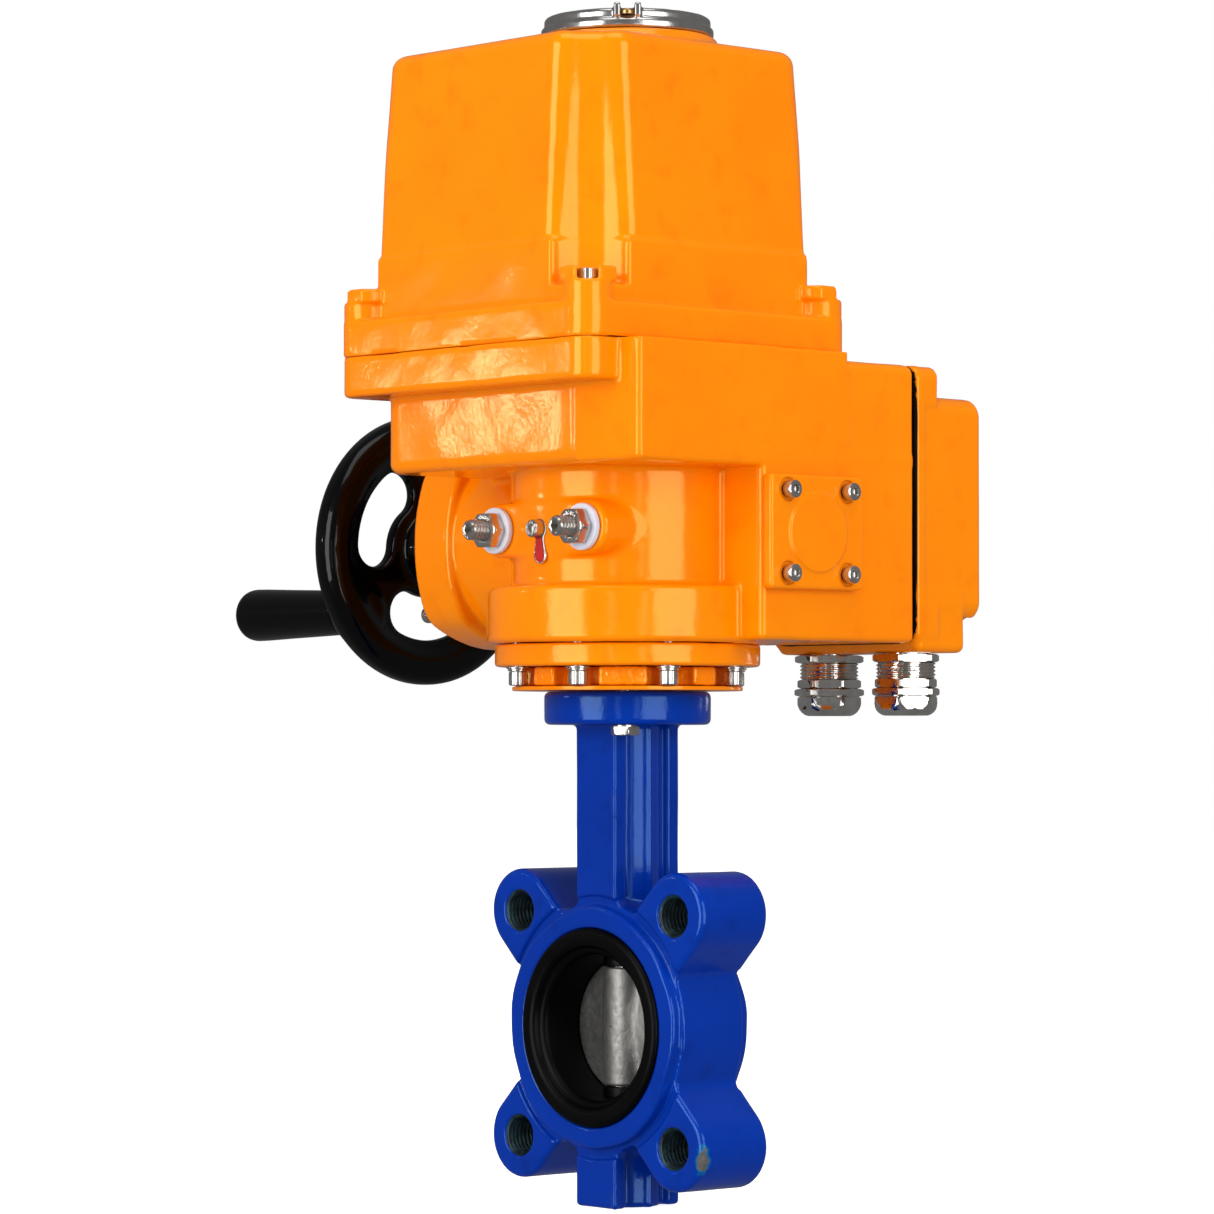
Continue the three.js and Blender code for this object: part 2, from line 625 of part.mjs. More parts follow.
function bearing(fromX, toX) {
  const outer = bar('x', BEARING_BORE_R - CLEARANCE, fromX, toX, WORM_AT, MEDIUM_SIDES);
  return cut(outer, bar('x', SHAFT_R + CLEARANCE, fromX - 1, toX + 1, WORM_AT, SMALL_SIDES));
}

function bearingCap() {
  const [lowY, highY] = [WORM_Y - CAP_HALF_Y, WORM_Y + CAP_HALF_Y];
  const outline = roundedRect(lowY, highY, WORM_Z - CAP_HALF_Z, WORM_Z + CAP_HALF_Z, 2);
  const plate = join(
    extrude('x', outline, BOX_X1 + CLEARANCE, BOX_X1 + 5.4),
    bar('x', 15.5, BOX_X1 + 1, BOX_X1 + 6, WORM_AT, MEDIUM_SIDES),
  );
  const holes = CAP_SCREWS.map(([y, z]) =>
    bar('x', 2 + CLEARANCE, BOX_X1 - 1, BOX_X1 + 9, [WORM_Y + y, WORM_Z + z], TINY_SIDES),
  );
  return cut(plate, ...holes);
}

add('worm_shaft', wormShaft(), STAINLESS);
add('worm_bearing_left', bearing(LEFT_BOSS.end + 3, LEFT_BOSS.end + 12.7), STAINLESS);
add('worm_bearing_right', bearing(BOX_INSIDE.x1 - 3.5, BOX_X1), STAINLESS);
add('bearing_cap', bearingCap(), ENAMEL_ORANGE);

CAP_SCREWS.forEach(([y, z], i) => {
  const at = [WORM_Y + y, WORM_Z + z];
  const seatX = BOX_X1 + 5.4 + CLEARANCE;
  const body = join(
    bar('x', 3.5, seatX, seatX + 4, at, SMALL_SIDES),
    bar('x', 2, 62.3, seatX + 1, at, TINY_SIDES),
  );
  add(`cap_screw_${i + 1}`, cut(body, bar('x', 1.8, seatX + 2, seatX + 5, at, 6)), STAINLESS);
});

// ---------------------------------------------------------------- motor
const MOTOR_DISTANCE = (SPUR_MODULE * (SPUR_TEETH + PINION_TEETH)) / 2;
const MOTOR_AT = [
  WORM_Y + MOTOR_DISTANCE * Math.cos(MOTOR_DIRECTION),
  WORM_Z + MOTOR_DISTANCE * Math.sin(MOTOR_DIRECTION),
];
const MOTOR_R = 17;
const MOTOR_FRONT_X = 38;

function motor() {
  const foot = block(-2, 30, MOTOR_AT[0] - 5, MOTOR_AT[0] + 5, MOTOR_AT[1], BOX_INSIDE.z1 - CLEARANCE);
  return join(
    bar('x', MOTOR_R, -9, MOTOR_FRONT_X - 2, MOTOR_AT, MEDIUM_SIDES),
    bar('x', 8, MOTOR_FRONT_X - 3, MOTOR_FRONT_X, MOTOR_AT, SMALL_SIDES),
    foot,
  );
}

function motorPinion() {
  const facing = MOTOR_DIRECTION + Math.PI + Math.PI / PINION_TEETH;
  const gear = extrudeGeometry('x', spurOutline(PINION_TEETH, facing), ...SPUR_X).translate(0, ...MOTOR_AT);
  return join(toSolid(gear), bar('x', 3, MOTOR_FRONT_X + CLEARANCE, SPUR_X[1] + 3, MOTOR_AT, TINY_SIDES));
}

add('motor', motor(), CAST_STEEL);
add('motor_pinion', motorPinion(), STAINLESS);

// ---------------------------------------------------------------- travel stops and earth terminal
const STOPPER_TIP_Y = -61;
const STOP_END_Y = -13.8;
const PAD_FACE_Y = -45;
const SEAL_THICKNESS = 2.5;
const NUT_THICKNESS = 6.5;

[-STOPPER_X, STOPPER_X].forEach((x, i) => {
  const at = [x, WORM_Z];
  const sealFace = PAD_FACE_Y - CLEARANCE - SEAL_THICKNESS;
  const nutFace = sealFace - CLEARANCE - NUT_THICKNESS;
  const shankHole = bar('y', 4 + CLEARANCE, -60, -40, at, SMALL_SIDES);
  const socket = bar('y', 2.3, STOPPER_TIP_Y - 1, -56, at, 6);
  const bolt = cut(bar('y', 4, STOPPER_TIP_Y, STOP_END_Y, at, SMALL_SIDES), socket);
  const nut = cut(bar('y', 7.5, nutFace, nutFace + NUT_THICKNESS, at, 6), shankHole);
  const seal = cut(bar('y', 9, sealFace, sealFace + SEAL_THICKNESS, at, MEDIUM_SIDES), shankHole);
  add(`stopper_bolt_${i + 1}`, bolt, STAINLESS);
  add(`stopper_nut_${i + 1}`, nut, STAINLESS);
  add(`stopper_seal_${i + 1}`, seal, WHITE_NYLON);
});

function earthScrew() {
  const at = [0, WORM_Z];
  const head = bar('y', 3.5, -50.5, -46.5, at, SMALL_SIDES);
  const shank = bar('y', 2, -47, -39, at, TINY_SIDES);
  return cut(join(head, shank), bar('y', 1.7, -52, -48.5, at, 6));
}

add('earth_screw', earthScrew(), STAINLESS);

// ---------------------------------------------------------------- handwheel
const WHEEL_AT = [WORM_Y, WORM_Z];
const CRANK_AT = [
  WORM_Y + CRANK_R * Math.cos(CRANK_ANGLE),
  WORM_Z + CRANK_R * Math.sin(CRANK_ANGLE),
];
const SPOKE_ANGLES = [92, 212, 332];
const WINDOW_INNER_R = 19.4;
const WINDOW_OUTER_R = 38.4;
const SPOKE_HALF_ANGLE = 35;

// Three round-ended windows between the spokes, as outlines about the wheel's axis.
function windowOutline(spokeAngle) {
  const middleR = (WINDOW_INNER_R + WINDOW_OUTER_R) / 2;
  const halfWidth = (WINDOW_OUTER_R - WINDOW_INNER_R) / 2;
  const start = (spokeAngle + SPOKE_HALF_ANGLE) * DEGREE;
  const end = (spokeAngle + 120 - SPOKE_HALF_ANGLE) * DEGREE;
  const shape = new THREE.Shape();
  shape.absarc(0, 0, WINDOW_OUTER_R, start, end, false);
  shape.absarc(...onCircle(middleR, end), halfWidth, end, end + Math.PI, false);
  shape.absarc(0, 0, WINDOW_INNER_R, end, start, true);
  shape.absarc(...onCircle(middleR, start), halfWidth, start + Math.PI, start + TURN, false);
  return shape;
}

function handwheel() {
  const rim = [
    [RIM_INNER_R, -5],
    [HANDWHEEL_R - 4, -7],
    [HANDWHEEL_R, -3],
    [HANDWHEEL_R, 3],
    [HANDWHEEL_R - 4, 7],
    [RIM_INNER_R, 5],
    [RIM_INNER_R, -5],
  ];
  const points = rim.map(([radius, height]) => new THREE.Vector2(radius, height));
  const rimGeometry = new THREE.LatheGeometry(points, BIG_SIDES).rotateZ(-Math.PI / 2);
  const windows = SPOKE_ANGLES.map((angle) =>
    toSolid(extrudeGeometry('x', windowOutline(angle), -180, -140).translate(0, ...WHEEL_AT)),
  );
  const webDisc = bar('x', RIM_INNER_R + 4, WHEEL_PLANE_X - 4, WHEEL_PLANE_X + 4, WHEEL_AT, BIG_SIDES);
  const web = cut(webDisc, ...windows);
  const hub = bar('x', 15, WHEEL_PLANE_X - 8, -126, WHEEL_AT, MEDIUM_SIDES);
  return cut(
    join(toSolid(rimGeometry.translate(WHEEL_PLANE_X, ...WHEEL_AT)), web, hub),
    bar('x', SHAFT_R + CLEARANCE, -180, -120, WHEEL_AT, SMALL_SIDES),
    bar('x', 4 + CLEARANCE, -180, -140, CRANK_AT, SMALL_SIDES),
  );
}

const GRIP_X = [-232, -169];
const GRIP_HEAD_DEPTH = 8;

function handleGrip() {
  const [end, base] = GRIP_X;
  const body = bar('x', 10.5, end, base, CRANK_AT, 28, 8.8);
  return cut(
    body,
    bar('x', 4.4, end - 1, base + 1, CRANK_AT, SMALL_SIDES),
    bar('x', 6.9, end - 1, end + GRIP_HEAD_DEPTH, CRANK_AT, SMALL_SIDES),
  );
}

function handleBolt() {
  const headX = GRIP_X[0] + GRIP_HEAD_DEPTH - CLEARANCE;
  const bolt = join(
    bar('x', 4, headX - 1, WHEEL_PLANE_X, CRANK_AT, SMALL_SIDES),
    bar('x', 6.4, headX - 5, headX, CRANK_AT, SMALL_SIDES),
  );
  return cut(bolt, bar('x', 2.9, headX - 6, headX - 2.5, CRANK_AT, 6));
}

add('handwheel', handwheel(), BLACK_GLOSS);
add('handle_grip', handleGrip(), BLACK_GLOSS);
add('handle_bolt', handleBolt(), STAINLESS);

// ---------------------------------------------------------------- top cover
const GASKET_THICKNESS = 0.8;
const COVER_BOTTOM_Z = COVER_SEAM_Z + GASKET_THICKNESS + 2 * CLEARANCE;
const BAND_INSET = 7.5;
const WALL_INSET = 9.7;
const DRAFT = 3.7;
const WIDE_FLUTE_R = 20;
const NARROW_FLUTE_R = 6;
const BOSS_TOP_Z = 288.5;
const DIAL_HOLE_R = 27;

// Two opposite corners have a wide flute above the screw, the other two only a narrow relief.
function fluteR(index) {
  return index % 2 === 0 ? WIDE_FLUTE_R : NARROW_FLUTE_R;
}

// The flange outline pushed up from z0 to z1, with its sides leaning in by draft at the top.
function draftedBlock(inset, z0, z1, draft) {
  const geometry = extrudeGeometry('z', flangeOutline(inset), z0, z1);
  const places = geometry.attributes.position;
  const [middleX, middleY] = [(FLANGE.x0 + FLANGE.x1) / 2, (FLANGE.y0 + FLANGE.y1) / 2];
  const [halfX, halfY] = [FLANGE.x1 - middleX - inset, FLANGE.y1 - middleY - inset];
  for (let i = 0; i < places.count; i += 1) {
    const lean = (draft * (places.getZ(i) - z0)) / (z1 - z0);
    places.setX(i, middleX + (places.getX(i) - middleX) * (1 - lean / halfX));
    places.setY(i, middleY + (places.getY(i) - middleY) * (1 - lean / halfY));
  }
  return toSolid(geometry);
}

function topCover() {
  const outside = join(
    extrude('z', flangeOutline(), COVER_BOTTOM_Z, COVER_FLANGE_TOP_Z),
    extrude('z', flangeOutline(BAND_INSET), COVER_FLANGE_TOP_Z - 1, COVER_BAND_TOP_Z),
    draftedBlock(WALL_INSET, COVER_BAND_TOP_Z - 1, COVER_TOP_Z - 4, DRAFT),
    draftedBlock(WALL_INSET + DRAFT, COVER_TOP_Z - 5, COVER_TOP_Z, 4),
    bar('z', 36, COVER_TOP_Z - 1, COLLAR_TOP_Z, [0, 0], BIG_SIDES),
  );
  const flutes = COVER_SCREWS.map((at, i) =>
    bar('z', fluteR(i), BOSS_TOP_Z, COVER_TOP_Z + 1, at, MEDIUM_SIDES),
  );
  const bosses = COVER_SCREWS.map((at) =>
    bar('z', COVER_SCREW_INSET, COVER_FLANGE_TOP_Z - 1, BOSS_TOP_Z, at, MEDIUM_SIDES),
  );
  const shell = join(cut(outside, ...flutes), ...bosses);
  const innerInset = WALL_INSET + COVER_WALL;
  const inside = cut(
    join(
      extrude('z', flangeOutline(innerInset), COVER_BOTTOM_Z - 1, COVER_BAND_TOP_Z),
      draftedBlock(innerInset, COVER_BAND_TOP_Z - 1, COVER_TOP_Z - COVER_WALL, DRAFT),
    ),
    ...COVER_SCREWS.map((at, i) =>
      bar('z', fluteR(i) + COVER_WALL, COVER_BOTTOM_Z - 2, COVER_TOP_Z, at, MEDIUM_SIDES),
    ),
  );
  const screwHoles = COVER_SCREWS.flatMap((at) => [
    bar('z', 2.5 + CLEARANCE, COVER_BOTTOM_Z - 1, BOSS_TOP_Z + 1, at, TINY_SIDES),
    bar('z', 4.6, BOSS_TOP_Z - 6, BOSS_TOP_Z + 1, at, SMALL_SIDES),
  ]);
  const dialHole = bar('z', DIAL_HOLE_R, COVER_TOP_Z - 10, COLLAR_TOP_Z + 1, [0, 0], BIG_SIDES);
  return cut(shell, inside, dialHole, ...screwHoles);
}

function coverGasket() {
  const z = COVER_SEAM_Z + CLEARANCE;
  const sheet = extrude('z', flangeOutline(1.5), z, z + GASKET_THICKNESS);
  const window = extrude('z', flangeOutline(14), z - 1, z + 2);
  const holes = COVER_SCREWS.map((at) => bar('z', 2.5 + CLEARANCE, z - 1, z + 2, at, TINY_SIDES));
  return cut(sheet, window, ...holes);
}

add('top_cover', topCover(), ENAMEL_ORANGE);
add('cover_gasket', coverGasket(), BLACK_RUBBER);

COVER_SCREWS.forEach((at, i) => {
  const seatZ = BOSS_TOP_Z - 6 + CLEARANCE;
  add(`cover_screw_${i + 1}`, capScrew(at, seatZ + 5, 4.2, 5, 2.5, 248.5, true), STAINLESS);
});

// ---------------------------------------------------------------- sight glass
const RING_R = 34;
const GLASS_R = 29;
const SIGHT_RING_Z = [COLLAR_TOP_Z + CLEARANCE, 393];
const EAR_ANGLES = [-42.7, 77.3, 197.3];
const GLASS_TOP_Z = 390;

function sightRing() {
  const [low, high] = SIGHT_RING_Z;
  const ring = [
    [GLASS_R + CLEARANCE, low],
    [RING_R + 1.5, low],
    [RING_R, low + 2],
    [RING_R, high - 1],
    [RING_R - 1.5, high],
    [26, high],
    [25, GLASS_TOP_Z + CLEARANCE],
    [GLASS_R + CLEARANCE, GLASS_TOP_Z + CLEARANCE],
    [GLASS_R + CLEARANCE, low],
  ];
  const ears = EAR_ANGLES.flatMap((angle) =>
    [-5, 5].map((side) => {
      const geometry = new THREE.BoxGeometry(7, 2.6, 5);
      geometry.translate(RING_R - 0.5, side, high - 1.2);
      return toSolid(geometry.rotateZ(angle * DEGREE));
    }),
  );
  return join(turned('z', ring), ...ears);
}

add('sight_ring', sightRing(), STAINLESS);

const glass = bar('z', GLASS_R, COLLAR_TOP_Z + CLEARANCE, GLASS_TOP_Z, [0, 0], BIG_SIDES);
add('sight_glass', glass, CLEAR_GLASS);

// ---------------------------------------------------------------- control gear under the cover
function mountingPlate() {
  const plate = extrude('z', roundedRect(-68, 42, -54, 44, 6), COVER_SEAM_Z + CLEARANCE, 263.8);
  const corners = COVER_SCREWS.map((at, i) =>
    bar('z', fluteR(i) + COVER_WALL + 1, 255, 270, at, MEDIUM_SIDES),
  );
  return cut(plate, bar('z', 16, 255, 270, [0, 0], MEDIUM_SIDES), ...corners);
}

function switchBlock() {
  const base = block(-44, -18, -20, 20, 264.1, 296);
  const rollers = [279, 291].map((z) => bar('z', 3, z - 2.5, z + 2.5, [-16.5, 0], SMALL_SIDES));
  return join(base, ...rollers);
}

add('mounting_plate', mountingPlate(), STAINLESS);
add('switch_block', switchBlock(), GREEN_PLASTIC);

// ---------------------------------------------------------------- terminal box cover and cable glands
const TERMINAL_GASKET_Y = BOX_END_Y + CLEARANCE;
const TERMINAL_GASKET_THICKNESS = 0.9;
const LID_Y = TERMINAL_GASKET_Y + TERMINAL_GASKET_THICKNESS + CLEARANCE;
const LID_FLANGE_END_Y = 105;
const LID_END_Y = 130.5;
const LID_FLANGE_BOTTOM_Z = 149;
const LID_BODY = { x0: BOX_X0 + 2, x1: BOX_X1 - 0.8, z0: 158.5, z1: 247.5 };
const GLAND_HOLE_R = 9.7;

function terminalCover() {
  const flange = roundedRect(BOX_X0, BOX_X1, LID_FLANGE_BOTTOM_Z, BOX_TOP_Z, 6);
  const dome = roundedRect(LID_BODY.x0, LID_BODY.x1, LID_BODY.z0, LID_BODY.z1, 9);
  const outside = join(
    extrude('y', flange, LID_Y, LID_FLANGE_END_Y),
    extrude('y', dome, LID_Y, LID_END_Y),
    block(BOX_X0 + 2, BOX_X1 - 0.8, LID_Y + 1, 121, GLAND_SEAT_Z, LID_BODY.z0 + 10),
  );
  const room = roundedRect(LID_BODY.x0 + 4, LID_BODY.x1 - 4, LID_BODY.z0 + 4, LID_BODY.z1 - 4, 6);
  const inside = extrude('y', room, LID_Y - 1, LID_END_Y - 4);
  const entries = GLAND_XS.map((x) =>
    bar('z', GLAND_HOLE_R, GLAND_SEAT_Z - 1, LID_BODY.z0 + 6, [x, GLAND_Y], MEDIUM_SIDES),
  );
  return cut(outside, inside, ...entries);
}

function terminalGasket() {
  const [low, high] = [TERMINAL_GASKET_Y, TERMINAL_GASKET_Y + TERMINAL_GASKET_THICKNESS];
  const outer = roundedRect(BOX_X0 + 0.4, BOX_X1 - 0.4, BOX_BOTTOM_Z + 0.4, BOX_TOP_Z - 0.4, 5);
  const inner = roundedRect(BOX_X0 + 7, BOX_X1 - 7, BOX_BOTTOM_Z + 14, BOX_TOP_Z - 14, 5);
  return cut(extrude('y', outer, low, high, 4), extrude('y', inner, low - 1, high + 1));
}

function terminalBlock() {
  const base = block(0, 52, 72, 88, BOX_INSIDE.z0 + CLEARANCE, 172);
  const slots = Array.from({ length: 6 }, (_, i) => block(5 + 8 * i, 9 + 8 * i, 76, 84, 168, 173));
  return cut(base, ...slots);
}

add('terminal_cover', terminalCover(), ENAMEL_ORANGE);
add('terminal_gasket', terminalGasket(), BLACK_RUBBER);
add('terminal_block', terminalBlock(), WHITE_NYLON);

GLAND_XS.forEach((x, i) => {
  const at = [x, GLAND_Y];
  const seatZ = GLAND_SEAT_Z - CLEARANCE;
  const outside = join(
    bar('z', GLAND_HOLE_R - CLEARANCE, seatZ - 2, LID_BODY.z0 + 2, at, MEDIUM_SIDES),
    bar('z', 13.85, seatZ - 5, seatZ, at, 6),
    bar('z', 10.5, seatZ - 10, seatZ - 4, at, MEDIUM_SIDES),
    bar('z', 13.85, seatZ - 18, seatZ - 9, at, 6),
    bar('z', 12, seatZ - 20, seatZ - 17, at, MEDIUM_SIDES),
    bar('z', 9, seatZ - 24.5, seatZ - 20, at, MEDIUM_SIDES, TINY_SIDES),
  );
  const entry = bar('z', 5.5, seatZ - 26, LID_BODY.z0 + 4, at, SMALL_SIDES);
  add(`cable_gland_${i + 1}`, cut(outside, entry), STAINLESS);
});

export default actuator;
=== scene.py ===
"""Looks of the motorised quarter-turn actuator on its lug butterfly valve.

Shapes are worked out in millimetres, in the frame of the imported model: +Z up the stem, +Y along the
pipe, +X along the worm shaft. Castings are distance fields, so every inside corner gets the soft fillet
of a casting under thick enamel. Turned pieces, threads and hexagons are meshed directly.
"""

import math

import bmesh
import bpy
import numpy as np
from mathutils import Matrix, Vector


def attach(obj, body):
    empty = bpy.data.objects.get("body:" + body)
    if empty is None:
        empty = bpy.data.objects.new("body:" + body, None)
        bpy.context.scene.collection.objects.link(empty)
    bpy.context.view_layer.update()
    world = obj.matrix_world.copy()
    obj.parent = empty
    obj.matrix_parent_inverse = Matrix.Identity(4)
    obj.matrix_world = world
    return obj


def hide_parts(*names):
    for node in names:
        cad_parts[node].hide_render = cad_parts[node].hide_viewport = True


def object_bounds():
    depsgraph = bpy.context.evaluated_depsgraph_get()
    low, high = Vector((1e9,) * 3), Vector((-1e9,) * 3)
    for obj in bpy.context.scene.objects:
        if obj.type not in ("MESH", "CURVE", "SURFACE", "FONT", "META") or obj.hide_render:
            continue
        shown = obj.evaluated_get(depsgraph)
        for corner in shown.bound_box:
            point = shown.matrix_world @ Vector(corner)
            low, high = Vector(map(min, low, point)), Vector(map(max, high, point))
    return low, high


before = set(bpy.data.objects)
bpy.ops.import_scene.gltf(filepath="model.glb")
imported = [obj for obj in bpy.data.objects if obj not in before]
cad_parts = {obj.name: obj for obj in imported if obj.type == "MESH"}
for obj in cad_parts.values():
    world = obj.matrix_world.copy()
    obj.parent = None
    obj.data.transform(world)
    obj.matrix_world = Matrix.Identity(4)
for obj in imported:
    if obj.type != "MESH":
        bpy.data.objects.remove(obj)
cad_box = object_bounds()

# ---------------------------------------------------------------- driving dimensions, millimetres
MM = 0.001
TURN = 2 * math.pi
CLEARANCE = 0.3
SCREW_HOLE_R = 2.9

# valve
VALVE_TOP = 130.1
DRUM_HALF = 17.5
LUG_CIRCLE_R = 62.5
LUG_R = 16.5
STEM_BORE_R = 6.7
SEAT_HUB_R = 9.4
SEAT_HUB_FACE = 23.3
FLANGE_BOLT_CIRCLE_R = 25.0

# adapter
SHIM_TOP = 132.0
ADAPTER_TOP = 139.4
BASE_RING_BOTTOM = 139.7
BASE_RING_TOP = 148.4
BASE_SCREW_CIRCLE_R = 45.0
SLEEVE_BORE_R = 13.3

# gear housing
WORM_Y = 32.5
WORM_Z = 191.0
BEARING_BORE_R = 13.3
FOOT_RING_TOP = 170.6
CASE_R = 45.5
SHOULDER = 216.0
CASE_FLANGE_BOTTOM = 246.0
BOSS_END_X = -118.0
STOPPER_Z = 192.4
STOPPER_XS = (-25.0, 25.0)
PAD_FACE_Y = -45.0

# top cover
SEAM = 261.8
COVER_BOTTOM = 262.05
FLANGE_TOP = 276.0
NOSE_TOP = 283.5
EAR_TOP = 288.5
BAND_TOP = 301.0
COVER_TOP = 381.0
COLLAR_TOP = 385.3
FLANGE_X = (-90.2, 57.4)
FLANGE_Y = (-73.8, 66.2)
SCREW_INSET = 9.0
FLUTE_R = (20.0, 6.0, 20.0, 6.0)
FLUTE_FLOOR = 283.0
DRAFT = 3.7

# terminal box
BOX_X = (-15.0, 67.5)
BOX_END_Y = 91.4
BOX_Z = (149.5, 258.8)
GASKET_Y = 92.15
LID_Y = 92.9
LID_LUG_END_Y = 105.0
LID_END_Y = 130.8
LID_BOTTOM = 149.0
GLAND_XS = (4.5, 47.5)
GLAND_Y = 107.0
GLAND_SEAT = 145.5

# handwheel
WHEEL_X = -161.0
RIM_MIDDLE_R = 49.3
RIM_HALF = 7.2
CRANK_R = 44.2
CRANK_ANGLE = math.radians(217)
SPOKE_ANGLES = (92, 212, 332)


def on_circle(radius, angle):
    return radius * math.cos(angle), radius * math.sin(angle)


LUG_ANGLES = [math.radians(a) for a in (45, 135, 225, 315)]
EAR_ANGLES = [math.radians(a) for a in (-42.7, 77.3, 197.3)]
FLANGE_BOLTS = [on_circle(FLANGE_BOLT_CIRCLE_R, angle) for angle in LUG_ANGLES]
BASE_SCREWS = [on_circle(BASE_SCREW_CIRCLE_R, math.radians(22.5 + 45 * i)) for i in range(8)]
COVER_SCREWS = [
    (FLANGE_X[1] - SCREW_INSET, FLANGE_Y[0] + SCREW_INSET),
    (FLANGE_X[1] - SCREW_INSET, FLANGE_Y[1] - SCREW_INSET),
    (FLANGE_X[0] + SCREW_INSET, FLANGE_Y[1] - SCREW_INSET),
    (FLANGE_X[0] + SCREW_INSET, FLANGE_Y[0] + SCREW_INSET),
]
CAP_SCREWS = [(WORM_Y + y, WORM_Z + z) for y, z in ((-16, -16), (16, -16), (16, 16), (-16, 16))]
LID_SCREWS = [(x, z) for x in (BOX_X[0] + 6.5, BOX_X[1] - 6.5) for z in (BOX_Z[1] - 8, LID_BOTTOM + 8)]

# How bright the studio is to the camera, as fill light, and where gloss mirrors it.
WORLD_SEEN, WORLD_FILL, WORLD_MIRRORED = 1.0, 0.5, 0.16
CAMERA_AZIMUTH = math.radians(47.3)


# ---------------------------------------------------------------- distance fields
class Grid:
    """Sample points that fill a box, as three arrays that broadcast against each other."""

    def __init__(self, low, high, step):
        margin = 3 * step
        axes = [np.arange(a - margin, b + margin, step, dtype=np.float32) for a, b in zip(low, high)]
        self.step = step
        self.start = np.array([axis[0] for axis in axes])
        self.shape = tuple(len(axis) for axis in axes)
        self.x = axes[0][:, None, None]
        self.y = axes[1][None, :, None]
        self.z = axes[2][None, None, :]


def disc(a, b, centre, radius):
    return np.hypot(a - centre[0], b - centre[1]) - radius


def rect(a, b, a_range, b_range, corner):
    """A rectangle with rounded corners. Its limits may be arrays, for walls that lean."""
    qa = np.abs(a - (a_range[0] + a_range[1]) / 2) - (a_range[1] - a_range[0]) / 2 + corner
    qb = np.abs(b - (b_range[0] + b_range[1]) / 2) - (b_range[1] - b_range[0]) / 2 + corner
    outside = np.hypot(np.maximum(qa, 0), np.maximum(qb, 0))
    return outside + np.minimum(np.maximum(qa, qb), 0) - corner


def stadium(a, b, a_range, b_centre, radius):
    return np.hypot(a - np.clip(a, *a_range), b - b_centre) - radius


def prism(flat, t, low, high, edge):
    """A flat field pushed along t from low to high, with its end edges rounded."""
    across = flat + edge
    along = np.abs(t - (low + high) / 2) - (high - low) / 2 + edge
    outside = np.hypot(np.maximum(across, 0), np.maximum(along, 0))
    return outside + np.minimum(np.maximum(across, along), 0) - edge


def box(grid, x_range, y_range, z_range, edge):
    flat = rect(grid.x, grid.y, x_range, y_range, edge)
    return prism(flat, grid.z, *z_range, edge)


def join(a, b, fillet):
    """Union with a fillet in the inside corner."""
    h = np.clip(0.5 + 0.5 * (b - a) / fillet, 0, 1)
    return b + (a - b) * h - fillet * h * (1 - h)


def carve(a, tool, rounding):
    """a without tool, with the new edge rounded."""
    return -join(-a, tool, rounding)


def ripple(grid, height, length):
    """The slow unevenness of a casting under thick paint."""
    x, y, z = grid.x / length, grid.y / length, grid.z / length
    first = np.sin(x * 1.0 + 0.7 * y + 1.3) * np.sin(y * 1.1 - 0.5 * z + 0.4) * np.sin(z * 0.9 + 0.6 * x)
    second = np.sin(x * 2.3 - 1.1 * z) * np.sin(y * 2.1 + 0.8 * x + 2.0) * np.sin(z * 2.5 + y)
    return height * (first + 0.5 * second)


def field_mesh(grid, field):
    """The surface where the field is zero, as points in millimetres and quads (surface nets)."""
    values = np.broadcast_to(field, grid.shape)
    inside = values < 0
    crossings, quads = [], []
    for axis in range(3):
        first = [slice(None)] * 3
        second = [slice(None)] * 3
        first[axis] = slice(None, -1)
        second[axis] = slice(1, None)
        flips = inside[tuple(first)] != inside[tuple(second)]
        at = np.argwhere(flips)
        before = values[tuple(first)][flips]
        after = values[tuple(second)][flips]
        crossing = at.astype(float)
        crossing[:, axis] += before / (before - after)
        side_a, side_b = (axis + 1) % 3, (axis + 2) % 3
        corners = []
        for step_a, step_b in ((0, 0), (1, 0), (1, 1), (0, 1)):
            cell = at.copy()
            cell[:, side_a] -= step_a
            cell[:, side_b] -= step_b
            corners.append(np.ravel_multi_index(cell.T, grid.shape))
        quad = np.stack(corners, 1)
        quad[before > 0] = quad[before > 0][:, ::-1]
        quads.append(quad)
        crossings.append(np.repeat(crossing, 4, axis=0))
    crossings = np.concatenate(crossings)
    cells, corner = np.unique(np.concatenate(quads).ravel(), return_inverse=True)
    counts = np.bincount(corner)
    centres = [np.bincount(corner, weights=crossings[:, k]) / counts for k in range(3)]
    return np.stack(centres, 1) * grid.step + grid.start, corner.reshape(-1, 4)


# ---------------------------------------------------------------- turned pieces
HEX = "hex"
KNURL = "knurl"
THREAD = "thread"
SIDES = 96


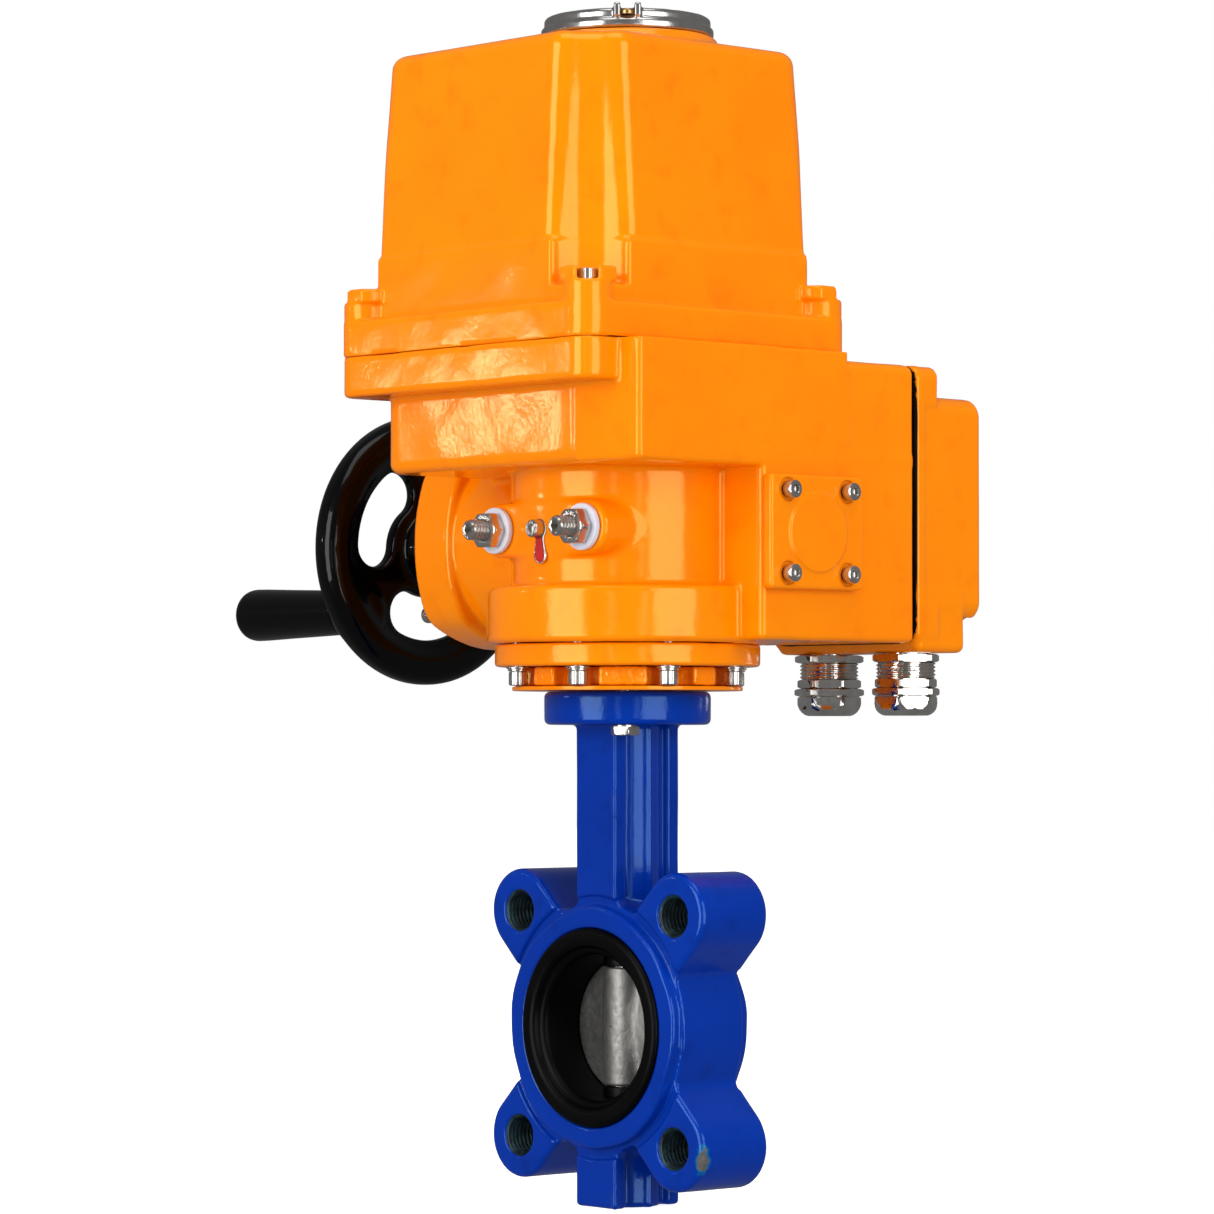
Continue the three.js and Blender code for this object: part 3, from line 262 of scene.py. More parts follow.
def turned(stations, sides=SIDES):
    """Rings about the Z axis. A station is (radius, height), or adds (HEX, half the width across
    flats), (KNURL, depth, count) or (THREAD, depth, pitch). The ends close on the axis or on each other."""
    angles = np.arange(sides) * TURN / sides
    to_flat = (angles + math.pi / 6) % (math.pi / 3) - math.pi / 6
    rings = []
    for radius, height, *extra in stations:
        ring = np.full(sides, float(radius))
        kind, *values = extra[0] if extra else (None,)
        if kind == HEX:
            ring = np.minimum(ring, values[0] / np.cos(to_flat))
        if kind == KNURL:
            ring -= values[0] * (0.5 + 0.5 * np.cos(values[1] * angles))
        if kind == THREAD:
            phase = (height / values[1] - angles / TURN) % 1
            ring -= values[0] * np.clip(np.abs(phase - 0.5) * 2.6 - 0.25, 0, 1)
        rings.append(np.stack([ring * np.cos(angles), ring * np.sin(angles), np.full(sides, height)], 1))
    points = np.concatenate(rings)
    i = np.arange(sides)
    j = (i + 1) % sides
    quads = [
        np.stack([k * sides + i, k * sides + j, (k + 1) * sides + j, (k + 1) * sides + i], 1)
        for k in range(len(rings) - 1)
    ]
    return points, np.concatenate(quads)


def soft(stations, radius, steps=3):
    """The same stations with every corner between two straight stretches rounded off."""
    result = [stations[0]]
    for before, here, after in zip(stations, stations[1:], stations[2:]):
        a, b, c = (np.array(s[:2], float) for s in (before, here, after))
        reach_a = min(radius, np.linalg.norm(a - b) * 0.45)
        reach_c = min(radius, np.linalg.norm(c - b) * 0.45)
        if len(here) > 2 or min(reach_a, reach_c) < 1e-6:
            result.append(here)
            continue
        start = b + (a - b) / np.linalg.norm(a - b) * reach_a
        end = b + (c - b) / np.linalg.norm(c - b) * reach_c
        for t in np.linspace(0, 1, steps + 1):
            result.append(tuple((1 - t) ** 2 * start + 2 * t * (1 - t) * b + t * t * end))
    return result + [stations[-1]]


def thread(radius, start, end, pitch, depth):
    """Stations of a screw thread from one height to another."""
    count = max(2, int(abs(end - start) / pitch * 10))
    return [(radius, z, (THREAD, depth, pitch)) for z in np.linspace(start, end, count)]


UPSIDE_DOWN = np.array([1, 1, -1])


def along(points, axis, at):
    """Turned points laid along another axis, with the piece's own origin moved to at."""
    order = {"z": (0, 1, 2), "x": (2, 0, 1), "y": (1, 2, 0)}[axis]
    return points[:, order] + np.array(at, float)


# ---------------------------------------------------------------- pieces
def make_object(name, points, faces):
    mesh = bpy.data.meshes.new(name)
    mesh.vertices.add(len(points))
    mesh.vertices.foreach_set("co", (points * MM).astype(np.float32).ravel())
    sizes = faces.shape[1]
    mesh.loops.add(faces.size)
    mesh.loops.foreach_set("vertex_index", faces.astype(np.int32).ravel())
    mesh.polygons.add(len(faces))
    mesh.polygons.foreach_set("loop_start", np.arange(0, faces.size, sizes, dtype=np.int32))
    mesh.update(calc_edges=True)
    piece = bpy.data.objects.new(name, mesh)
    bpy.context.scene.collection.objects.link(piece)
    return piece


def clean(mesh, sharp_angle):
    """Welds, turns the faces outwards and shades smooth, with edges sharper than the angle kept."""
    work = bmesh.new()
    work.from_mesh(mesh)
    bmesh.ops.remove_doubles(work, verts=work.verts, dist=1e-7)
    bmesh.ops.dissolve_degenerate(work, dist=1e-8, edges=work.edges)
    bmesh.ops.recalc_face_normals(work, faces=work.faces)
    if work.calc_volume(signed=True) < 0:
        bmesh.ops.reverse_faces(work, faces=work.faces)
    work.to_mesh(mesh)
    work.free()
    mesh.polygons.foreach_set("use_smooth", [True] * len(mesh.polygons))
    mesh.set_sharp_from_angle(angle=math.radians(sharp_angle))


def settle(piece, name, material, body):
    """A piece that is named after a CAD node stands for that node. Blender adds .001 to a material's
    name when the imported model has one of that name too."""
    piece.data.materials.append(material)
    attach(piece, body)
    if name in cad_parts:
        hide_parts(name)


def cast(name, grid, field, material, body="root"):
    """A casting: the surface of a distance field."""
    piece = make_object(name, *field_mesh(grid, field))
    piece.data.polygons.foreach_set("use_smooth", [True] * len(piece.data.polygons))
    settle(piece, name, material, body)


def machined(name, solids, material, body="root", sharp_angle=32):
    """Turned or meshed solids joined into one piece. Each solid is (points, faces)."""
    offset = 0
    all_points, all_faces = [], []
    for points, faces in solids:
        all_points.append(points)
        all_faces.append(faces + offset)
        offset += len(points)
    piece = make_object(name, np.concatenate(all_points), np.concatenate(all_faces))
    clean(piece.data, sharp_angle)
    settle(piece, name, material, body)


def copies(name, stations, axis, places, material, sides=SIDES):
    """One turned piece at several places, as name_1, name_2 and so on."""
    points, faces = turned(stations, sides)
    for number, at in enumerate(places, 1):
        machined(f"{name}_{number}", [(along(points, axis, at), faces)], material)


# ---------------------------------------------------------------- materials
class Shader:
    """One material's node tree, with the object's own coordinates in metres ready to use."""

    def __init__(self, name):
        self.material = bpy.data.materials.new(name)
        self.material.use_nodes = True
        self.tree = self.material.node_tree
        self.surface = self.tree.nodes["Principled BSDF"]
        self.where = self.add("ShaderNodeTexCoord").outputs["Object"]

    def add(self, kind, links=(), **settings):
        node = self.tree.nodes.new(kind)
        for key, value in settings.items():
            setattr(node, key, value)
        for socket, value in links:
            if isinstance(value, bpy.types.NodeSocket):
                self.tree.links.new(value, node.inputs[socket])
            else:
                node.inputs[socket].default_value = value
        return node

    def set(self, **values):
        for key, value in values.items():
            name = key.replace("_", " ").title().replace("Ior", "IOR")
            if isinstance(value, bpy.types.NodeSocket):
                self.tree.links.new(value, self.surface.inputs[name])
            else:
                self.surface.inputs[name].default_value = value

    def noise(self, scale, detail=3.0, roughness=0.5, where=None):
        links = [("Vector", where or self.where), ("Scale", scale)]
        links += [("Detail", detail), ("Roughness", roughness)]
        return self.add("ShaderNodeTexNoise", links).outputs["Fac"]

    def cells(self, scale):
        """How far the nearest of many scattered points is."""
        links = [("Vector", self.where), ("Scale", scale)]
        return self.add("ShaderNodeTexVoronoi", links).outputs["Distance"]

    def vector(self, operation, a, b=(0, 0, 0)):
        node = self.add("ShaderNodeVectorMath", [(0, a), (1, b)], operation=operation)
        return node.outputs["Value" if operation == "LENGTH" else "Vector"]

    def math(self, operation, a, b=0.0, clamp=False):
        links = [(0, a), (1, b)]
        return self.add("ShaderNodeMath", links, operation=operation, use_clamp=clamp).outputs[0]

    def fade(self, value, low, high):
        """0 where value is under low, 1 where it is over high."""
        links = [("Value", value), ("From Min", low), ("From Max", high)]
        return self.add("ShaderNodeMapRange", links, clamp=True).outputs[0]

    def mix(self, factor, a, b):
        links = [("Factor", factor), (6, a), (7, b)]
        return self.add("ShaderNodeMix", links, data_type="RGBA").outputs[2]

    def bump(self, *layers):
        """Layers of (height, strength, distance in metres), the coarsest first."""
        normal = None
        for height, strength, distance in layers:
            links = [("Height", height), ("Strength", strength), ("Distance", distance)]
            if normal is not None:
                links.append(("Normal", normal))
            normal = self.add("ShaderNodeBump", links).outputs["Normal"]
        self.tree.links.new(normal, self.surface.inputs["Normal"])


def rgb(r, g, b):
    return (r, g, b, 1.0)


def enamel(name, colour, thin, deep, peel):
    """Thick gloss enamel: slow sags, orange peel, a few pits, and colour that thins and pools."""
    s = Shader(name)
    drift = s.noise(18.0, 4.0)
    pool = s.noise(90.0, 3.0)
    base = s.mix(s.fade(drift, 0.35, 0.7), colour, thin)
    base = s.mix(s.math("MULTIPLY", s.fade(pool, 0.55, 0.8), 0.5), base, deep)
    pits = s.fade(s.cells(160.0), 0.035, 0.02)
    rare = s.fade(s.noise(35.0, 1.0), 0.58, 0.62)
    pits = s.math("MULTIPLY", pits, rare)
    base = s.mix(s.math("MULTIPLY", pits, 0.5), base, deep)
    s.set(base_color=base)
    peel_noise = s.noise(520.0, 2.0)
    sag = s.noise(65.0, 2.0)
    s.bump((sag, 0.12, 0.0012), (peel_noise, peel, 0.00035), (s.math("MULTIPLY", pits, -1.0), 0.4, 0.0003))
    return s


GOLDEN_GLOSS = rgb(1.0, 1.0, 0.35)


def orange_enamel():
    s = enamel("orange_enamel", rgb(1.0, 0.235, 0.0), rgb(1.0, 0.262, 0.0), rgb(0.9, 0.17, 0.0), 0.14)
    s.set(roughness=0.13, specular_ior_level=0.6, specular_tint=GOLDEN_GLOSS)
    return s.material


def pooled_enamel():
    """The same enamel where it has run thick and lumpy into the screw pockets."""
    s = enamel("orange_enamel_pooled", rgb(1.0, 0.22, 0.0), rgb(1.0, 0.25, 0.0), rgb(0.75, 0.1, 0.0), 0.35)
    s.set(roughness=0.1, specular_ior_level=0.8, specular_tint=GOLDEN_GLOSS)
    return s.material


def blue_enamel():
    """Blue enamel with a knock on one lug that shows the grey iron."""
    s = enamel("blue_enamel", rgb(0.0, 0.027, 0.31), rgb(0.0, 0.033, 0.36), rgb(0.0, 0.014, 0.17), 0.16)
    chip_at = (0.0605, -0.0175, -0.0488)
    squeezed = s.vector("MULTIPLY", s.vector("SUBTRACT", s.where, chip_at), (1.2, 1.0, 0.62))
    distance = s.vector("LENGTH", squeezed)
    ragged = s.math("ADD", distance, s.math("MULTIPLY", s.noise(420.0, 4.0), 0.0035))
    bare = s.fade(ragged, 0.0056, 0.0050)
    paint = s.surface.inputs["Base Color"].links[0].from_socket
    iron = s.mix(s.noise(700.0, 5.0), rgb(0.05, 0.045, 0.04), rgb(0.16, 0.14, 0.12))
    rim = s.math("MULTIPLY", s.fade(ragged, 0.0066, 0.0056), 0.7)
    s.set(base_color=s.mix(bare, s.mix(rim, paint, rgb(0.0, 0.16, 0.3)), iron))
    s.set(roughness=s.math("ADD", s.math("MULTIPLY", bare, 0.45), 0.14))
    s.set(specular_ior_level=0.5, specular_tint=rgb(0.35, 0.65, 1.0))
    return s.material


def bright_steel(name, colour, roughness, scratch=0.08, metallic=0.95):
    """Bright metal with fine turning marks, smears and a little grime."""
    s = Shader(name)
    smear = s.noise(140.0, 4.0)
    grain = s.noise(900.0, 4.0, 0.7)
    dark = tuple(c * 0.72 for c in colour[:3]) + (1.0,)
    s.set(base_color=s.mix(s.fade(smear, 0.35, 0.75), colour, dark), metallic=metallic)
    s.set(roughness=s.math("ADD", s.math("MULTIPLY", grain, roughness), roughness * 0.5))
    s.bump((grain, scratch, 0.00012))
    return s.material


def cast_steel():
    """Sand-cast stainless, dull and streaked."""
    s = Shader("cast_stainless")
    sand = s.noise(420.0, 6.0, 0.65)
    streak = s.noise(60.0, 3.0, where=s.vector("MULTIPLY", s.where, (1.0, 1.0, 0.15)))
    base = s.mix(s.fade(streak, 0.3, 0.7), rgb(0.15, 0.147, 0.138), rgb(0.34, 0.335, 0.32))
    s.set(base_color=base, metallic=0.9, roughness=s.fade(sand, -0.6, 1.6))
    s.bump((sand, 0.5, 0.0004))
    return s.material


def rubber():
    """Black rubber with a faint bloom."""
    s = Shader("black_rubber")
    bloom = s.noise(45.0, 4.0)
    grain = s.noise(1400.0, 3.0)
    base = s.mix(s.fade(bloom, 0.4, 0.8), rgb(0.0004, 0.0004, 0.0005), rgb(0.0015, 0.0015, 0.0018))
    s.set(base_color=base, specular_ior_level=0.1)
    s.set(roughness=s.math("ADD", s.math("MULTIPLY", bloom, 0.25), 0.28))
    s.bump((grain, 0.12, 0.0001))
    return s.material


def black_gloss():
    """Black paint under a thin clear coat, with specks of dust."""
    s = Shader("black_gloss")
    wave = s.noise(38.0, 2.0)
    dust = s.fade(s.noise(1600.0, 2.0), 0.68, 0.8)
    speckle = s.math("MULTIPLY", dust, 0.4)
    s.set(base_color=s.mix(speckle, rgb(0.0005, 0.0005, 0.0005), rgb(0.01, 0.01, 0.01)))
    s.set(roughness=0.3, coat_weight=0.4, coat_roughness=0.05, specular_ior_level=0.05)
    s.bump((wave, 0.15, 0.0008))
    return s.material


def nylon(name, colour, shade):
    """Moulded plastic, a little translucent, with stains of the shade colour."""
    s = Shader(name)
    grain = s.noise(800.0, 3.0)
    stain = s.noise(120.0, 3.0)
    s.set(base_color=s.mix(s.fade(stain, 0.45, 0.8), colour, shade), roughness=0.45)
    s.set(subsurface_weight=0.1)
    s.bump((grain, 0.08, 0.0002))
    return s.material


def tapped_iron():
    """Tapped iron with paint, grease and a green bloom where the enamel ends."""
    s = Shader("tapped_iron")
    blotch = s.noise(260.0, 4.0)
    base = s.mix(s.fade(blotch, 0.4, 0.65), rgb(0.008, 0.014, 0.02), rgb(0.015, 0.06, 0.075))
    s.set(base_color=base, metallic=0.55, roughness=0.42)
    s.bump((s.noise(900.0, 3.0), 0.2, 0.0002))
    return s.material


def red_enamel():
    s = Shader("red_enamel")
    s.set(base_color=s.mix(s.noise(200.0, 2.0), rgb(0.42, 0.003, 0.003), rgb(0.55, 0.008, 0.005)))
    s.set(roughness=0.3, specular_ior_level=0.3)
    s.bump((s.noise(500.0, 2.0), 0.1, 0.0002))
    return s.material


def clear_glass():
    s = Shader("sight_glass")
    s.set(base_color=rgb(0.93, 0.98, 0.97), transmission_weight=1.0, ior=1.5)
    s.set(roughness=s.math("MULTIPLY", s.noise(60.0, 3.0), 0.05))
    return s.material


def dial_face():
    """A yellow dial with black quadrant marks and a black rim line."""
    s = Shader("dial")
    split = s.add("ShaderNodeSeparateXYZ", [(0, s.where)])
    x, y = split.outputs[0], split.outputs[1]
    radius = s.math("SQRT", s.math("ADD", s.math("MULTIPLY", x, x), s.math("MULTIPLY", y, y)))
    line = s.math("MULTIPLY", s.fade(radius, 0.0205, 0.0207), s.fade(radius, 0.0222, 0.022))
    angle = s.math("ARCTAN2", y, x)
    ticks = s.fade(s.math("COSINE", s.math("MULTIPLY", angle, 8.0)), 0.93, 0.96)
    ticks = s.math("MULTIPLY", ticks, s.fade(radius, 0.0165, 0.0168))
    ink = s.math("MAXIMUM", line, ticks)
    base = s.mix(s.noise(90.0), rgb(0.8, 0.5, 0.0), rgb(0.9, 0.6, 0.01))
    s.set(base_color=s.mix(ink, base, rgb(0.01, 0.01, 0.01)), roughness=0.4)
    s.bump((s.noise(700.0), 0.05, 0.0002))
    return s.material


ORANGE = orange_enamel()
POOLED = pooled_enamel()
BLUE = blue_enamel()
STAINLESS = bright_steel("stainless", rgb(0.66, 0.63, 0.59), 0.22)
NICKEL = bright_steel("nickel", rgb(0.86, 0.83, 0.79), 0.12, 0.04, 1.0)
POLISHED = bright_steel("polished_ring", rgb(0.6, 0.59, 0.58), 0.2)
BRONZE = bright_steel("bronze", rgb(0.55, 0.3, 0.1), 0.35)
BRASS = bright_steel("brass_screw", rgb(0.5, 0.33, 0.13), 0.3)
CAST_STEEL = cast_steel()
RUBBER = rubber()
BLACK = black_gloss()
WHITE_NYLON = nylon("white_nylon", rgb(0.78, 0.78, 0.86), rgb(0.6, 0.6, 0.7))
GREEN_PLASTIC = nylon("switch_plastic", rgb(0.02, 0.2, 0.08), rgb(0.01, 0.12, 0.05))
MOTOR_GREY = bright_steel("motor_steel", rgb(0.25, 0.26, 0.27), 0.5)
TAPPED = tapped_iron()
RED = red_enamel()
GLASS = clear_glass()
DIAL = dial_face()


# ---------------------------------------------------------------- valve
def neck_field(g, z_range):
    """Two flat plates and a round column between them, with the parting line down both sides."""
    half_x, half_y, plate_y, column_r = 11.5, 17.2, 10.5, 13.0
    front = box(g, (-half_x, half_x), (-half_y, -plate_y), z_range, 1.6)
    back = box(g, (-half_x, half_x), (plate_y, half_y), z_range, 1.6)
    column = prism(disc(g.x, g.y, (0, 0), column_r), g.z, *z_range, 1.6)
    seam = box(g, (-column_r - 0.8, column_r + 0.8), (-0.9, 0.9), z_range, 0.6)
    column = join(column, seam, 0.8)
    drip = 0.9 + 0.5 * np.maximum(np.sin(g.z / 6.1), 0) ** 6
    bead = prism(disc(g.x, g.y, (half_x - 0.7, 0.6 - half_y), drip), g.z, *z_range, 0.5)
    front = join(front, bead, 0.5)
    return join(join(front, column, 2.0), back, 2.0)


def valve_body():
    g = Grid((-61, -32.6, -69.6), (61, 32.6, 130.2), 0.72)
    body = prism(disc(g.x, g.z, (0, 0), 48.5), g.y, -DRUM_HALF, DRUM_HALF, 2.0)
    for angle in LUG_ANGLES:
        u = g.x * math.cos(angle) + g.z * math.sin(angle)
        v = g.z * math.cos(angle) - g.x * math.sin(angle)
        arm = prism(stadium(u, v, (0, LUG_CIRCLE_R), 0, LUG_R), g.y, -DRUM_HALF, DRUM_HALF, 2.2)
        body = join(body, arm, 3.0)
    body = join(body, neck_field(g, (30, 119)), 3.5)
    body = join(body, neck_field(g, (-69.5, -30)), 3.5)
    groove = prism(np.abs(disc(g.x, g.z, (0, 0), 48.8)) - 2.2, np.abs(g.y), 16.0, 30.0, 0.5)
    body = carve(body, groove, 0.9)
    around = np.arctan2(g.z, g.x)
    face_r = 46.6 + 0.5 * np.sin(5 * around + 0.6) + 0.35 * np.sin(11 * around) * np.sin(3 * around)
    body = join(body, prism(disc(g.x, g.z, (0, 0), face_r), g.y, -20, 20, 1.0), 0.8)
    flange = prism(disc(g.x, g.y, (0, 0), 32.5), g.z, 117.2, VALVE_TOP, 2.2)
    body = join(body, flange, 2.0) + ripple(g, 0.1, 9)
    chip = np.sqrt((g.x - 62.8) ** 2 + (g.y + 19.4) ** 2 + ((g.z + 48.8) * 0.5) ** 2) - 3.6
    body = carve(body, chip + ripple(g, 0.7, 1.1), 0.5)
    for angle in LUG_ANGLES:
        hole = disc(g.x, g.z, on_circle(LUG_CIRCLE_R, angle), 8.1)
        body = carve(body, hole, 0.8)
    body = carve(body, disc(g.x, g.z, (0, 0), 38.6), 1.0)
    body = np.maximum(body, -prism(disc(g.x, g.y, (0, 0), STEM_BORE_R), g.z, -62, 140, 0.2))
    body = np.maximum(body, -prism(disc(g.x, g.y, (0, 0), 9.3), g.z, 95.7, 140, 0.2))
    for at in FLANGE_BOLTS:
        body = np.maximum(body, -prism(disc(g.x, g.y, at, 3.3), g.z, 110, 140, 0.2))
    cast("valve_body", g, body, BLUE)


def lug_threads():
    """The M16 thread that shows inside each lug, as a thin sleeve in the bored hole."""
    outer_r, root_r, depth, pitch = 8.4, 7.95, 0.95, 2.0
    half = DRUM_HALF - 0.6
    stations = [(outer_r, -half), (outer_r, half), (root_r + 0.2, half)]
    stations += thread(root_r, half - 0.4, -half + 0.4, pitch, depth)
    stations += [(root_r + 0.2, -half), (outer_r, -half)]
    circle = [on_circle(LUG_CIRCLE_R, angle) for angle in LUG_ANGLES]
    copies("lug_thread", stations, "y", [(x, 0, z) for x, z in circle], TAPPED, 64)


def valve_seat():
    profile = [
        (38.5, 0), (38.5, 20.4), (37.2, 21.5), (33.2, 21.5), (31.6, 20.6), (31.0, 18.8),
        (29.0, 17.8), (28.2, 16.2), (27.2, 9.0), (26.6, 4.0), (26.6, 0),
    ]
    mirrored = [(r, -h) for r, h in reversed(profile[:-1])]
    points, faces = turned(soft(profile + mirrored, 0.9), 144)
    solids = [(along(points, "y", (0, 0, 0)), faces)]
    inner_r, low, high = 6.8, SEAT_HUB_FACE, 27.6
    hub = [(inner_r, low), (SEAT_HUB_R, low), (SEAT_HUB_R, high), (inner_r, high), (inner_r, low)]
    points, faces = turned(soft(hub, 0.5), 64)
    solids += [(points * np.array([1, 1, side]), faces) for side in (1, -1)]
    machined("valve_seat", solids, RUBBER, sharp_angle=50)


def valve_disc():
    g = Grid((-26.5, -9.5, -26.5), (26.5, 9.5, 26.5), 0.5)
    radius = np.hypot(g.x, g.z)
    half = 4.4 - 2.8 * np.clip((radius - 10) / 16, 0, 1)
    plate = np.maximum(np.abs(g.y) - half, radius - 26.3)
    boss = prism(disc(g.x, g.y, (0, 0), 9.0), g.z, -23, 23, 1.0)
    body = join(plate, boss, 2.5) + ripple(g, 0.07, 3)
    body = np.maximum(body, -disc(g.x, g.y, (0, 0), STEM_BORE_R))
    hub_gap = disc(g.x, g.y, (0, 0), SEAT_HUB_R + CLEARANCE)
    hub_gap = np.maximum(hub_gap, SEAT_HUB_FACE - 0.1 - np.abs(g.z))
    body = np.maximum(body, -hub_gap)
    cast("valve_disc", g, body, CAST_STEEL, "output_drive")


def flange_bolts():
    """Hexagon bolts up through the valve's top flange."""
    seat = 116.9
    flats = (HEX, 5.0)
    head = [
        (0, -4.0), (4.2, -4.0), (4.9, -3.9, flats), (5.4, -3.6, flats), (5.78, -3.1, flats),
        (5.78, -0.5, flats), (4.7, -0.4), (4.7, 0), (3, 0),
    ]
    stations = head + thread(3.0, 0.5, 20.5, 1.0, 0.45) + [(2.3, 21.1), (0, 21.1)]
    copies("flange_bolt", stations, "z", [(x, y, seat) for x, y in FLANGE_BOLTS[1::2]], STAINLESS, 72)


# ---------------------------------------------------------------- adapter
def adapter_plate():
    g = Grid((-45.2, -45.2, 132), (45.2, 45.2, 139.6), 0.5)
    outline = disc(g.x, g.y, (0, 0), 44.5)
    pocket_r, reach = 7.9, 3.5
    for x, y in BASE_SCREWS:
        flat_way = abs(x) < abs(y)
        aside = (x - math.copysign(reach, x), y) if flat_way else (x, y - math.copysign(reach, y))
        for at in ((x, y), aside):
            outline = carve(outline, disc(g.x, g.y, at, pocket_r), 1.6)
    body = prism(outline, g.z, SHIM_TOP + CLEARANCE, ADAPTER_TOP, 0.8)
    body = body + ripple(g, 0.16, 1.4) + ripple(g, 0.12, 4)
    body = np.maximum(body, -disc(g.x, g.y, (0, 0), SLEEVE_BORE_R))
    cast("adapter_plate", g, body, POOLED)


def adapter_rings():
    """The thin disc over the valve's flange, and the ring under the gear housing."""
    shim = [(17.5, 130.4), (45.0, 130.4), (45.0, SHIM_TOP), (17.5, SHIM_TOP), (17.5, 130.4)]
    machined("adapter_shim", [turned(soft(shim, 0.5), 144)], ORANGE)
    g = Grid((-52, -52, BASE_RING_BOTTOM), (52, 52, BASE_RING_TOP), 0.6)
    ring = prism(disc(g.x, g.y, (0, 0), 51.8), g.z, BASE_RING_BOTTOM, BASE_RING_TOP, 1.3)
    ring = np.maximum(ring + ripple(g, 0.1, 6), -disc(g.x, g.y, (0, 0), SLEEVE_BORE_R))
    for at in BASE_SCREWS:
        ring = np.maximum(ring, -disc(g.x, g.y, at, SCREW_HOLE_R))
    cast("base_ring", g, ring, ORANGE)


def socket_head(radius, height, socket, knurled=True):
    """Stations of a hexagon-socket head whose top is at height 0 and whose seat is at -height."""
    grip = (KNURL, 0.16, 24) if knurled else None
    side = [(radius, z, grip) if grip else (radius, z) for z in (-0.7, -height + 0.7)]
    inside = (HEX, socket)
    return [
        (0, -height * 0.55), (socket * 0.6, -height * 0.5, inside), (socket * 2, -height * 0.45, inside),
        (socket * 2, -0.35, inside), (socket * 1.25, 0), (radius - 0.6, 0), (radius - 0.15, -0.3),
        *side, (radius - 0.1, -height + 0.3), (radius - 0.4, -height),
    ]


def base_screws():
    """Socket screws that point up, each with a spring washer and a flat washer."""
    screw = socket_head(3.75, 5.5, 2.0) + [(2.5, -5.5), (2.5, -30.0), (0, -30.5)]
    spring = [(2.7, -5.6), (4.1, -5.6), (4.1, -6.4), (2.7, -6.4), (2.7, -5.6)]
    flat = [(2.7, -6.5), (4.7, -6.5), (4.7, -7.2), (2.7, -7.2), (2.7, -6.5)]
    solids = [turned(screw), turned(soft(spring, 0.12, 2), 64), turned(soft(flat, 0.12, 2), 64)]
    for number, (x, y) in enumerate(BASE_SCREWS, 1):
        at = np.array((x, y, SHIM_TOP + CLEARANCE))
        turned_over = [(points * UPSIDE_DOWN + at, faces) for points, faces in solids]
        machined(f"base_screw_{number}", turned_over, STAINLESS)


# ---------------------------------------------------------------- gear housing
def case_outline(g):
    """The case under the flange, from above: a rounded left corner and a faceted front right."""
    wide = rect(g.x, g.y, (-79.5, 120), (-60, 50), 11)
    facet = (4 * (g.x - 37.5) - 30 * (g.y + 60)) / math.hypot(4, 30)
    wide = -join(-wide, -facet, 1.5)
    wide = -join(-wide, -(g.x - BOX_X[1]), 2.0)
    deep = rect(g.x, g.y, BOX_X, (-30, BOX_END_Y), 2.5)
    return np.minimum(wide, deep)


def worm_boss(g):
    """The boss on the worm's axis. Its end flange is a square with bulging sides."""
    y, z = g.y - WORM_Y, g.z - WORM_Z
    outline = disc(y, z, (-31.8, 0), 75)
    for centre, radius in (((31.8, 0), 75), ((0, 20.4), 63), ((0, -20.4), 63)):
        outline = -join(-outline, -disc(y, z, centre, radius), 3.0)
    end = prism(outline, g.x, BOSS_END_X, -95, 2.6)
    neck = prism(np.hypot(y, z) - 41, g.x, -100, -10, 2)
    return join(end, neck, 1.5)


def housing_outside(g):
    body = prism(disc(g.x, g.y, (0, 0), 55), g.z, 148.7, FOOT_RING_TOP, 2.2)
    drum = prism(disc(g.x, g.y, (0, 0), CASE_R), g.z, 160, 225, 2)
    body = join(body, drum, 2.2)
    pad = prism(stadium(g.x, g.z, (-25.5, 25.5), STOPPER_Z, 10.5), g.y, PAD_FACE_Y, -5, 1.8)
    body = join(body, pad, 2.2)
    body = join(body, worm_boss(g), 2.5)
    upper = prism(case_outline(g), g.z, SHOULDER, BOX_Z[1], 4.0)
    lower = box(g, BOX_X, (7.8, BOX_END_Y), (BOX_Z[0], SHOULDER + 8), 2.2)
    case = join(upper, lower, 1.2)
    body = join(body, case, 3.0)
    flange = prism(rect(g.x, g.y, FLANGE_X, FLANGE_Y, 9), g.z, CASE_FLANGE_BOTTOM, SEAM + 4, 1.8)
    body = join(body, flange, 1.8)
    outline = np.maximum(case_outline(g), g.y - 54)
    shelf = prism(np.maximum(outline, 35 - g.x), g.z, SHOULDER, SEAM + 4, 1.5)
    return np.maximum(join(body, shelf, 1.0), g.z - SEAM)


